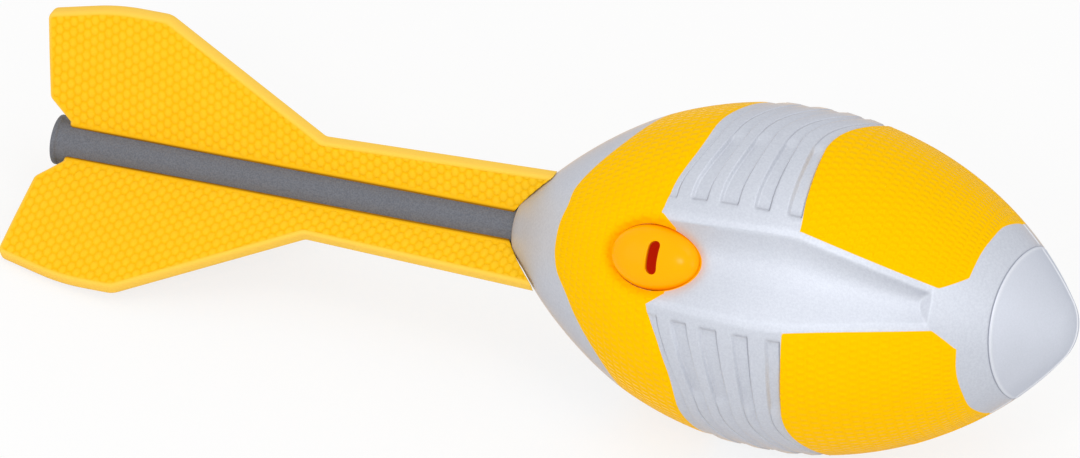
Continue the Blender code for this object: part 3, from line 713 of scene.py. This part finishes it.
def fin_finish():
    """Dense yellow foam: cloudy colour, with open pores, and painted light: painted shade between its
    bumps and a painted highlight on their crowns, a painted highlight along the outer edges, and painted
    shade along the foot at the tube.
    """
    finish = Finish("fin_foam_yellow", IOR=1.1, Sheen_Weight=0.1, Sheen_Roughness=0.4,
                    Sheen_Tint=(255, 225, 190))
    clouds, pores, foot = finish.noise(6.0, 3.0), finish.noise(0.3, 3.0, 0.6), finish.read("foot")
    # Painted shade and highlight: a darker colour in the hollows between the bumps, a paler one on their
    # crowns
    hollow = finish.mix(clouds, (241, 179, 2), (247, 186, 6))
    crown = finish.mix(clouds, (251, 195, 32), (254, 202, 44))
    yellow = finish.mix(finish.read("bump"), hollow, crown)
    # Painted highlight: a paler band along the fin's rounded outer edges, where they catch the light
    yellow = finish.mix(finish.read("cut") * 0.7, yellow, (253, 210, 96))
    # Painted shade along the foot at the tube: a wide orange tint and a thin dark contact shadow
    yellow = finish.mix(foot * 0.6, yellow, (250, 176, 0))
    yellow = finish.mix(finish.maths("POWER", foot, 4.0) * 0.9, yellow, (140, 92, 14))
    return finish.done(Base_Color=yellow, Roughness=0.66 + pores * 0.1, Normal=finish.bump(pores, 0.05))


def steps(start, end, count):
    """Even steps from start to end along a new last axis, without the first."""
    return np.linspace(start, end, count + 1, axis=-1)[..., 1:]


def quarter_angles(station, shift):
    """Angles from a flute's middle to the parting line, on one side of the flute."""
    width = flute_width(station, shift < 0.0)
    half = np.minimum(width / head_radius(station), GRIP_START - radians(2.0))
    start, end = GRIP_START + shift, GRIP_BREAK + shift
    stops = [(half * (1.0 - EDGE_WIDTH / width), FLOOR_COLUMNS), (half, 4), (start, 3),
             (start + GRIP_WALL, 4), (end, 15), (end + GRIP_RAMP, 5), (radians(88.2), 18),
             (radians(89.2), 3), (radians(90.0), 4)]
    parts, last = [np.zeros_like(half)[..., None]], np.zeros_like(half)
    for stop, count in stops:
        parts.append(steps(last, stop + 0.0 * half, count))
        last = stop
    return np.concatenate(parts, -1)


def head_angles(station):
    """Angles of the head's columns at each station, the same on each half turn: they follow the
    flutes' edges and the pockets' ends."""
    above, below = quarter_angles(station, GRIP_LEAN), quarter_angles(station, -GRIP_LEAN)
    half_turn = np.concatenate([above, pi - below[..., -2:0:-1]], -1)
    return np.concatenate([half_turn, pi + half_turn], -1)


def head_stations():
    """Stations along the head, closer across the grip band, at its grooves and at the seam."""
    parts = [np.linspace(-32.0, 16.0, 97)]
    parts += [groove + np.array([-0.5, -0.35, -0.22, -0.1, 0.0, 0.1, 0.22, 0.4]) for groove in GROOVES]
    parts += [ramp + np.array([-0.2, 0.0, 0.2, 0.4, 0.6, 0.8, 1.1, 1.3, 1.5]) for ramp in RAMPS]
    band = np.unique(np.round(np.concatenate(parts), 2))
    band = band[np.concatenate([[True], np.diff(band) > 0.07])]
    rear = [np.linspace(REAR_X + 0.4, -66.0, 17), steps(-66.0, -48.0, 22), steps(-48.0, -32.0, 26)[:-1]]
    front = [steps(16.0, 48.0, 27), steps(48.0, 57.0, 24), steps(57.0, SEAM_X - 1.2, 13),
             SEAM_X - np.array([0.9, 0.65, 0.4, SEAM_EDGE])]
    return np.concatenate(rear + [band] + front)


def anchor_cavity():
    """Profile (x, radius) of the room for the barbed anchor and the tube, front to rear."""
    bore_r, stem_r, barb_r, barb, slope = 6.8, 7.4, 10.3, 1.6, 1.2
    pitch = ANCHOR_LENGTH / ANCHOR_BARBS
    pairs = [(ANCHOR_X + ANCHOR_LENGTH + ANCHOR_GAP, 0.0)]
    for index in range(ANCHOR_BARBS):
        nose = ANCHOR_X + ANCHOR_LENGTH - index * pitch
        back = nose - pitch + barb
        pairs += [(nose + ANCHOR_GAP, stem_r), (back + slope + ANCHOR_GAP, barb_r),
                  (back - ANCHOR_GAP, barb_r), (back - ANCHOR_GAP, stem_r)]
    rear = ANCHOR_X - ANCHOR_GAP
    return pairs + [(rear, stem_r), (rear - 0.1, bore_r), (REAR_X + 0.6, bore_r), (REAR_X, bore_r + 0.4),
                    (REAR_X, bore_r + 0.8), (REAR_X + 0.12, bore_r + 1.12)]


def seat_points(along, across, height):
    """Points on a whistle's seat, which leans to the rear, as local points of the head."""
    x, out = turned(along, height, SEAT_TILT)
    return SEAT_X + x, across, SEAT_R + out


def pocket_rim(turn):
    """Where the oval pocket's wall meets the skin: the height is stepped until both agree."""
    scale = (DOME_WIDTH + SEAT_GAP) / DOME_WIDTH
    along, across = DOME_LENGTH * scale * np.cos(turn), DOME_WIDTH * scale * np.sin(turn)
    height = 2.0
    for _ in range(12):
        x, side, out = seat_points(along, across, height)
        angle = np.arctan2(side, out)
        height = height + head_radius(x) - relief(x, angle) - np.hypot(side, out)
    x, side, out = seat_points(along, across, height)
    return along, across, height, x, np.arctan2(side, out)


def side_turned(points, side):
    """Points of the right-hand flute, carried round the axis to another side."""
    x, y, z = np.moveaxis(points, -1, 0)
    return np.stack([x, *turned(y, z, side)], -1)


def whistle_patch(stations, angles, first, last):
    """Skin from the pocket's rim to the window's edge, on rays that are straight in station and
    angle and closer stepped at the rim, then the pocket's wall, step and floor."""
    columns = np.arange(-FLOOR_COLUMNS, FLOOR_COLUMNS + 1)
    rows = np.arange(first, last + 1)
    loop = [(first, c) for c in columns] + [(r, columns[-1]) for r in rows[1:]]
    loop += [(last, c) for c in columns[-2::-1]] + [(r, columns[0]) for r in rows[-2:0:-1]]
    row, column = np.array(loop).T
    edge_x, edge_angle = stations[row], np.sign(column) * angles[row, np.abs(column)]
    turn = np.arctan2(edge_angle * head_radius(edge_x) / DOME_WIDTH, (edge_x - SEAT_X) / DOME_LENGTH)
    along, across, height, rim_x, rim_angle = pocket_rim(turn)
    share = np.linspace(0.0, 1.0, 23)[:, None] ** 1.7
    x, angle = blend(rim_x, edge_x, share), blend(rim_angle, edge_angle, share)
    floor, step = DOME_SKIRT + DOME_GAP, CUP_R / (DOME_WIDTH + SEAT_GAP)
    down = [(1.0, blend(height, -floor, k)) for k in (0.0, 0.15, 0.5, 1.0)]
    down += [(step, -floor), (step, -CUP_BOTTOM), (0.0, -CUP_BOTTOM)]
    wall = np.stack([rolled(*seat_points(along * k, across * k, h)) for k, h in reversed(down)])
    values = [np.pad(value[1:], ((len(wall), 0), (0, 0)), constant_values=pocket).ravel()
              for (pocket, _), value in zip(HEAD_VALUES.values(), head_values(x, angle))]
    return np.concatenate([wall, head_points(x[1:], angle[1:])]), values


def make_head():
    """Foam head: one closed skin with its flutes, grip bands, pockets, bore and nose socket."""
    stations = head_stations()
    angles = head_angles(stations)
    count = angles.shape[1]
    grid = np.broadcast_to(stations[:, None], angles.shape)
    rear = rings(anchor_cavity(), angles[0])
    lip_x = SEAM_X + seam_bow(angles[-1])
    socket_r, socket_x = SPIGOT_R + SPIGOT_GAP, SEAM_X - SPIGOT_LENGTH - SPIGOT_GAP
    front = rings([(lip_x, head_radius(lip_x) - SEAM_EDGE), (SEAM_X, socket_r), (socket_x, socket_r),
                   (socket_x, 0.0)], angles[-1])
    points = np.concatenate([rear, head_points(grid, angles), front])
    values = [np.pad(value, ((len(rear), len(front)), (0, 0)), constant_values=hidden).ravel()
              for (_, hidden), value in zip(HEAD_VALUES.values(), head_values(grid, angles))]
    faces = grid_faces(len(points), count)
    first, last = np.searchsorted(stations, WINDOW_X)
    row, column = np.divmod(np.arange(len(faces)), count)
    row, offset = row - len(rear), (column + FLOOR_COLUMNS) % (count // 2)
    keep = (row < first) | (row >= last) | (offset >= 2 * FLOOR_COLUMNS)
    parts, sheets = [points.reshape(-1, 3)], [faces[keep]]
    patch, patch_values = whistle_patch(stations, angles, first, last)
    for side in SIDES:
        sheets.append(grid_faces(*patch.shape[:2], sum(map(len, parts))))
        parts.append(side_turned(patch.reshape(-1, 3), side))
    values = {label: np.concatenate([value] + [patch_value] * len(SIDES))
              for label, value, patch_value in zip(HEAD_VALUES, values, patch_values)}
    return make_piece("foam_head", np.concatenate(parts), np.concatenate(sheets), head_finish(), values)


def make_nose():
    """Nose bumper: the head's own outline from the bowed seam to the tip, on a round spigot. A fine
    bead runs along the seam, and the parting line is a ridge that crosses the tip: both are bell
    curves of the distance from their line, and both carry a painted highlight."""
    quarter = np.radians(np.concatenate([np.arange(0.0, 76.0, 4.0), np.arange(76.0, 84.0, 1.6),
                                         np.linspace(84.0, 90.0, 13)]))
    half = np.concatenate([quarter, pi - quarter[-2::-1]])
    turns = np.concatenate([half, 2 * pi - half[-2:0:-1]])
    back = SEAM_X + SEAM_GAP
    side = back + SEAM_EDGE
    sweep = acos((NOSE_TANGENT_X - NOSE_CENTRE_X) / NOSE_R)
    x = np.concatenate([NOSE_CENTRE_X + NOSE_R * np.cos(np.linspace(0.0, sweep, 40)),
                        steps(NOSE_TANGENT_X, side + 1.6, 11),
                        side + np.array([1.3, 1.0, 0.7, 0.4, 0.2, 0.0])])
    x = np.unique(x)[::-1][:, None]
    place = np.minimum(x + seam_bow(turns) * rise(x, side + 12.0, side), NOSE_TIP_X)
    radius = head_radius(place)
    ridge = bell(radius * np.cos(turns), NOSE_RIDGE_WIDTH)
    begun = rise(x, side, side + 1.0)
    bead = bell(x - side - 0.4, BEAD_WIDTH)
    along = unit((place - NOSE_CENTRE_X) / NOSE_R)
    lift = PARTING_NECK_HEIGHT * ridge * begun + BEAD_HEIGHT * bead
    radius = radius + lift * np.sqrt(1.0 - np.square(along))
    place = place + PARTING_NECK_HEIGHT * (ridge - ridge[:1]) * along
    back_x = back + seam_bow(turns)
    end, chamfer = SEAM_X - SPIGOT_LENGTH, 0.7
    hidden = rings([(back_x, head_radius(back_x) - SEAM_EDGE), (back, SPIGOT_R),
                    (end + chamfer, SPIGOT_R), (end, SPIGOT_R - chamfer), (end, 0.0)], turns)
    points = np.concatenate([ring(place, radius, turns), hidden])
    # Painted highlight on the parting ridge and, weaker, on the seam's bead
    light = np.pad(np.maximum(ridge * begun, BEAD_PAINTED_HIGHLIGHT * bead), ((0, len(hidden)), (0, 0)))
    return make_piece("nose_tip", points, grid_faces(*light.shape), silver_finish(), {"ridge": light})


def slot_reach(turn):
    """Distance from the slot's middle to its outline: straight sides, round ends."""
    c, s = np.abs(np.cos(turn)), np.abs(np.sin(turn))
    half = SLOT_HALF - SLOT_R
    straight = SLOT_R / np.maximum(c, 1e-9)
    return np.where(straight * s <= half, straight, half * s + circle(SLOT_R, half * c))


def make_dome(name, side):
    """Whistle dome: rings from the slot's edge out over the crown, down the skirt and back under
    it, joined to a closed shell. The crown is an oval whose height falls as the root of one less a
    power of the reach, so that it ends upright."""
    turn = full_turn(144)
    c, s = np.cos(turn), np.sin(turn)
    slot = slot_reach(turn)
    bend = SLOT_BEND * (1.0 - np.square(slot * s / SLOT_HALF)) - SLOT_BEND / 2
    outer = (DOME_LENGTH, DOME_WIDTH, DOME_HEIGHT)
    inner = (DOME_LENGTH * (1 - DOME_WALL / DOME_WIDTH), DOME_WIDTH - DOME_WALL, DOME_HEIGHT - DOME_WALL)
    shell = []

    def over(share, grow, size, drop=0.0):
        along = blend((slot + grow) * c + SLOT_AHEAD - bend, size[0] * c, share)
        across = blend((slot + grow) * s, size[1] * s, share)
        reach = unit(np.hypot(along / size[0], across / size[1]))
        shell.append(seat_points(along, across, size[2] * (1.0 - reach ** 2.2) ** 0.5 - drop))

    for grow, drop in ((0.0, 0.35), (0.05, 0.15), (0.15, 0.05)):
        over(0.0, grow, outer, drop)
    for share in np.sin(np.linspace(0.0, pi / 2, 30)):
        over(share, 0.35, outer)
    for length, width, _ in (outer, inner):
        shell.append(seat_points(length * c, width * s, -DOME_SKIRT))
    for share in np.sin(np.linspace(pi / 2, 0.0, 12)):
        over(share, 0.0, inner)
    points = np.stack([rolled(*points) for points in shell])
    return make_piece(name, side_turned(points, side), grid_faces(*points.shape[:2], over=True), DOME)


def full_turn(count):
    """Even angles round the axis."""
    return np.linspace(0.0, 2 * pi, count + 1)[:-1]


def make_round(name, pairs, count, finish, over=False):
    """A piece turned about the tail's axis from pairs of (x from the tube's end, radius)."""
    points = rings([(x + TUBE_END_X, radius) for x, radius in pairs], HEAD_ROLL - full_turn(count))
    return make_piece(name, points, grid_faces(len(pairs), count, over=over), finish)


def tube_radius(x):
    """Radius of the drafted tube: an even slope from one end to the other."""
    return blend(TUBE_TAIL_R, TUBE_HEAD_R, x / TUBE_LENGTH)


def make_tube():
    """Tail tube: drafted, open, flared towards its end, with a stepped round lip."""
    share = np.linspace(0.0, 1.0, 14)
    flare = zip(blend(FLARE_LENGTH, LIP + 0.5, share), blend(TUBE_TAIL_R, FLARE_R, share ** 1.5))
    bore_r = TUBE_TAIL_R - TUBE_WALL
    pairs = [(TUBE_LENGTH, TUBE_HEAD_R - 0.2), (TUBE_LENGTH - 0.2, TUBE_HEAD_R)]
    pairs += [(x, tube_radius(x)) for x in np.linspace(TUBE_LENGTH - 4.0, FLARE_LENGTH + 3.0, 30)]
    pairs += [*flare, (LIP + 0.2, FLARE_R + 0.06), (LIP + 0.02, FLARE_R + 0.2)]
    pairs += [(LIP, LIP_R - 0.3), (LIP - 0.08, LIP_R - 0.1), (LIP - 0.28, LIP_R), (0.35, LIP_R),
              (0.1, LIP_R - 0.1), (0.0, LIP_R - 0.35)]
    pairs += [(0.0, bore_r + 0.2), (0.2, bore_r), (TUBE_LENGTH, TUBE_HEAD_R - TUBE_WALL)]
    return make_round("tail_tube_moulding", pairs, 96, tube_finish(), over=True)


def make_plug():
    """Tail plug: a round disc with a rounded edge and a shallow dish in its face."""
    radius = TUBE_TAIL_R - TUBE_WALL - PLUG_GAP
    pairs = [(0.25, 0.0), (0.25, 3.2), (0.0, 3.6), (0.0, radius - 0.3), (0.1, radius - 0.1),
             (0.3, radius), (8.5, radius), (9.0, radius - 0.5), (9.0, 0.0)]
    return make_round("tail_plug_disc", pairs, 64, plug_finish())


def rounded(corners, count=10):
    """An open line through corners, each (x, y, radius), with arcs in place of the corners."""
    points = [complex(x, y) for x, y, _ in corners]
    line = points[:1]
    for before, here, after, (_, _, radius) in zip(points, points[1:], points[2:], corners[1:]):
        if radius <= 0.0:
            line.append(here)
            continue
        back, ahead = ((point - here) / abs(point - here) for point in (before, after))
        half = abs(np.angle(ahead / back)) / 2
        away = (back + ahead) / abs(back + ahead) * radius / sin(half)
        start, end = (side * radius / tan(half) - away for side in (back, ahead))
        angles = np.linspace(0.0, np.angle(end / start), count + 1)
        line += list(here + away + start * np.exp(1j * angles))
    line.append(points[-1])
    return np.stack([np.real(line), np.imag(line)], -1)


def resampled(line, shares):
    """Points of a line at shares of its length."""
    run = np.concatenate([[0.0], np.cumsum(np.hypot(*np.diff(line, axis=0).T))])
    return np.stack([np.interp(shares * run[-1], run, line[:, i]) for i in (0, 1)], -1)


def graded(count, near, at_start):
    """Shares from 0 to 1 that are closer together at one end."""
    even = np.linspace(0.0, 1.0, count)
    bent = even - near * np.sin(2 * pi * even) / (2 * pi)
    return np.where((even < 0.5) == at_start, bent, even)


def distance_to(line, x, y):
    """Distance from many points to a line of straight pieces."""
    best = np.full(x.shape, 1e9)
    for start, run in zip(line[:-1], np.diff(line, axis=0)):
        from_x, from_y = x - start[0], y - start[1]
        share = unit((from_x * run[0] + from_y * run[1]) / (run @ run + 1e-12))
        best = np.minimum(best, np.hypot(from_x - share * run[0], from_y - share * run[1]))
    return best


def fin_sides():
    """The fin's four sides, as lines of (x from the tube's end, height from the axis)."""
    heights = np.linspace(TUBE_HEAD_R, FIN_FRONT_R, 40)
    front_x = -TUBE_END_X - circle(ARC_R + 0.1, heights + ARC_DROP)
    front = np.stack([front_x, heights], -1)
    rake, hollow, waist, *crown = [(x - FIN_OVERHANG, y, r) for x, y, r in
                                   (FIN_RAKE, FIN_HOLLOW, FIN_WAIST, *FIN_CROWN)]
    slope = (FIN_STRIP_R - waist[1]) / (TUBE_EXPOSED - waist[0])
    strip_end = (front_x[-1], waist[1] + slope * (front_x[-1] - waist[0]), 0.0)
    top = rounded([rake, *crown, waist, strip_end])
    corner = 6
    outer = top[corner:]
    outer[-1] = front[-1]
    foot = (FIN_ROOT_X, TUBE_TAIL_R)
    end = rounded([(*foot, 0.0), (FIN_ROOT_X, TUBE_TAIL_R + FIN_FOOT, 0.0), hollow, rake])
    tail_edge = np.concatenate([end, top[1:corner + 1]])
    return np.array([foot, (front_x[0], TUBE_HEAD_R)]), outer, tail_edge, front


def bump_pattern(x, y):
    """Six-sided bumps on a staggered lattice: the height grows with the distance from the line
    between the two nearest lattice points. Lengths along x count for more, so the bumps stand in
    upright columns."""
    near, next_near = np.full(x.shape, 99.0), np.full(x.shape, 99.0)
    for shift in (0.0, 0.5):
        for row in (-1, 0, 1):
            for column in (-1, 0, 1):
                across = ((x / BUMP_LENGTH + shift) % 1.0 - 0.5 + column) * BUMP_LENGTH
                up = ((y / BUMP_HEIGHT + shift) % 1.0 - 0.5 + row) * BUMP_HEIGHT
                reach = np.hypot(across * BUMP_NARROW, up)
                next_near = np.minimum(next_near, np.maximum(reach, near))
                near = np.minimum(near, reach)
    border = (next_near - near) / 2
    return 0.5 * rise(border, 0.0, BUMP_EDGE) + 0.5 * unit(1.0 - np.square(near / BUMP_REACH))


def fin_share(height):
    """How much of its lean a fin has at a height: none at the tube, all at the tip."""
    return np.maximum(height - TUBE_TAIL_R, 0.0) / (FIN_SPAN - TUBE_TAIL_R)


def make_fin(name, side):
    """Foam fin: a sheet drawn between four sides, thick in the middle, with rounded edges, raised
    bumps on both faces and a foot that follows the tube. The soft fin leans out of its plane, in
    proportion to the height above the tube."""
    roll, bend, sweep = FIN_BENDS[side]
    root, outer, tail_edge, front = fin_sides()
    u, v = graded(420, 0.3, True), graded(104, 0.4, False)
    low, high = resampled(root, u), resampled(outer, u)
    near, far = resampled(tail_edge, v), resampled(front, v)
    share_u, share_v = u[:, None, None], v[None, :, None]
    ends = blend(low[[0, -1], None], high[[0, -1], None], v[:, None])
    flat = blend(low[:, None], high[:, None], share_v) + blend(near, far, share_u) - blend(*ends, share_u)
    x, y = flat[..., 0], flat[..., 1]
    inset = distance_to(np.concatenate([tail_edge[:-1], outer]), x, y)
    curve = FIN_THICK / 2 - FIN_ROUND + circle(FIN_ROUND, np.maximum(FIN_ROUND - inset, 0.0))
    field = rise(inset, 1.0, 1.5) * rise(y, TUBE_TAIL_R + 0.9, TUBE_TAIL_R + 1.4)
    raised = bump_pattern(x, y) * field
    half = curve - BUMP_DEPTH * field * (1.0 - raised)
    tube_r = tube_radius(x)
    share = fin_share(y)
    x, y = x + sweep * share, y - (tube_r - circle(tube_r, half)) * (1.0 - v[None, :]) ** 4
    faces_x = x + HEAD_X + TUBE_END_X
    points = np.stack([np.stack([faces_x, *turned(face * half + bend * share, y, roll)], -1)
                       for face in (1.0, -1.0)])
    rows, columns = x.shape
    number = np.arange(x.size).reshape(x.shape)
    loop = np.concatenate([number[0, :-1], number[:-1, -1], number[-1, :0:-1], number[:0:-1, 0]])
    after = np.roll(loop, -1)
    faces = np.concatenate([grid_faces(rows, columns, around=False),
                            grid_faces(rows, columns, x.size, around=False),
                            np.stack([loop, after, after + x.size, loop + x.size], -1)])
    # The bump value sets painted shade in the hollows and a painted highlight on the crowns; the cut
    # value sets a painted highlight along the outer edges
    values = {"bump": unit(raised + (1.0 - field) * 0.6), "cut": rise(inset, 1.6, 0.2),
              # The foot value sets painted shade and a painted contact shadow along the tube
              "foot": np.exp(-np.maximum(y - tube_r, 0.0) / 0.9)}
    return make_piece(name, points, faces, FIN, {label: np.stack([v, v]) for label, v in values.items()})


def resting_plane():
    """The plane that the ball lies on: it touches the head's belly and the two lower fins, so its
    slope is the one at which both need the same drop."""
    x = np.linspace(-40.0, 20.0, 241)
    outer = fin_sides()[1]
    roll, bend, _ = FIN_BENDS["right"]
    _, low = turned(bend * fin_share(outer[:, 1]) - FIN_THICK / 2, outer[:, 1], roll)
    slopes = np.linspace(-0.3, 0.3, 6001)
    head_drop, fin_drop = ((heights - slopes[:, None] * places).min(1) for places, heights in
                           ((x + HEAD_X, -head_radius(x)), (outer[:, 0] + HEAD_X + TUBE_END_X, low)))
    best = np.argmin(np.abs(head_drop - fin_drop))
    return slopes[best], head_drop[best]


def make_floor():
    """Plain pale floor: mostly its own white to the eye, with the object's shadow on it."""
    slope, drop = resting_plane()
    reach, clearance, own_white = 2.6, 0.0002, 0.8
    corners = [(sx * reach, sy * reach, drop * MM + slope * sx * reach - clearance) for sx, sy in
               ((-1, -1), (1, -1), (1, 1), (-1, 1))]
    mesh = bpy.data.meshes.new("studio_floor")
    mesh.from_pydata(corners, [], [(0, 1, 2, 3)])
    finish = Finish("studio_white", Roughness=0.9, IOR=1.05, Base_Color=[0.92, 0.92, 0.92, 1.0])
    lit, own = Socket(finish, finish.shader.outputs[0]), finish.node("Emission", Color=WHITE)
    finish.show("Material Output", finish.see_white() * own_white, lit, own)
    mesh.materials.append(finish.material)
    placed("studio_floor", mesh)


def make_world(level):
    """Soft even light from all round, seen as white."""
    world = bpy.data.worlds.new("studio")
    world.use_nodes = True
    sky = Nodes(world.node_tree)
    soft = sky.node("Background", Color=WHITE, Strength=level)
    sky.show("World Output", sky.see_white(), soft, sky.node("Background", Color=WHITE, Strength=1.0))
    bpy.context.scene.world = world


def towards(azimuth, elevation):
    """Unit vector to a direction, in degrees round from the right-hand side and degrees up."""
    a, e = radians(azimuth), radians(elevation)
    return Vector((sin(a) * cos(e), -cos(a) * cos(e), sin(e)))


def make_lamp(name, azimuth, elevation, distance, size, power):
    """A square soft lamp that looks at the head from a direction."""
    back = towards(azimuth, elevation)
    light = bpy.data.lights.new(name, "AREA")
    light.shape, light.size, light.energy = "SQUARE", size, power
    look = (-back).to_track_quat("-Z", "Y").to_matrix().to_4x4()
    placed(name, light).matrix_world = Matrix.Translation(back * distance) @ look


def make_camera():
    """The photograph's view: 20.8 degrees round to the nose, 30.4 degrees up and turned by 0.17
    degrees, 3.4 pixels a millimetre at the head's middle, which falls at pixel (794, 278)."""
    azimuth, elevation, roll, distance, sensor = 20.83, 30.4, 0.17, 6.0, 36.0
    width_px, height_px, head_px = 1080, 458, (793.9, 278.4)
    pixel = MM / 3.4
    back, right = towards(azimuth, elevation), towards(azimuth + 90.0, 0.0)
    right, up = turned(right, back.cross(right), radians(roll))
    target = Vector((HEAD_X * MM, 0.0, 0.0))
    target += right * ((width_px / 2 - head_px[0]) * pixel) + up * ((head_px[1] - height_px / 2) * pixel)
    lens = bpy.data.cameras.new("camera")
    lens.sensor_width = sensor
    lens.sensor_fit = "HORIZONTAL"
    lens.lens = sensor * distance / (width_px * pixel)
    lens.clip_start, lens.clip_end = 0.5, 20.0
    camera = placed("camera", lens)
    turn = Matrix((right, up, back)).transposed().to_4x4()
    camera.matrix_world = Matrix.Translation(target + back * distance) @ turn
    bpy.context.scene.camera = camera


DOME = dome_finish()
FIN = fin_finish()

make_camera()
make_world(0.75)
make_lamp("top_lamp", 50.0, 60.0, 1.6, 0.7, 3.2)
make_lamp("front_lamp", 5.0, 32.0, 1.8, 0.3, 5.5)
make_lamp("left_lamp", -48.0, 22.0, 1.8, 0.9, 2.6)
make_lamp("side_lamp", 52.0, 22.0, 1.8, 0.6, 3.0)
make_floor()

made = [
    (make_head(), "head_foam", "foam_yellow", True),
    (make_nose(), "nose_bumper", "silver_paint", True),
    (make_dome("right_dome", 0.0), "right_whistle_dome", "whistle_orange", False),
    (make_dome("left_dome", pi), "left_whistle_dome", "whistle_orange", False),
    (make_tube(), "tail_tube", "tube_grey", False),
    (make_plug(), "tail_plug", "plug_grey", False),
    (make_fin("top_foam_fin", "top"), "top_fin", "fin_yellow", True),
    (make_fin("right_foam_fin", "right"), "right_fin", "fin_yellow", True),
    (make_fin("left_foam_fin", "left"), "left_fin", "fin_yellow", True),
]
for piece, node, slot, foam in made:
    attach(piece, "root")
    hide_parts(node)

for node, finish in (("right_whistle_cup", cup_finish()), ("left_whistle_cup", cup_finish()),
                     ("tube_anchor", anchor_finish())):
    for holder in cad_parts[node].material_slots:
        holder.material = finish

bpy.context.scene.view_settings.view_transform = "Standard"
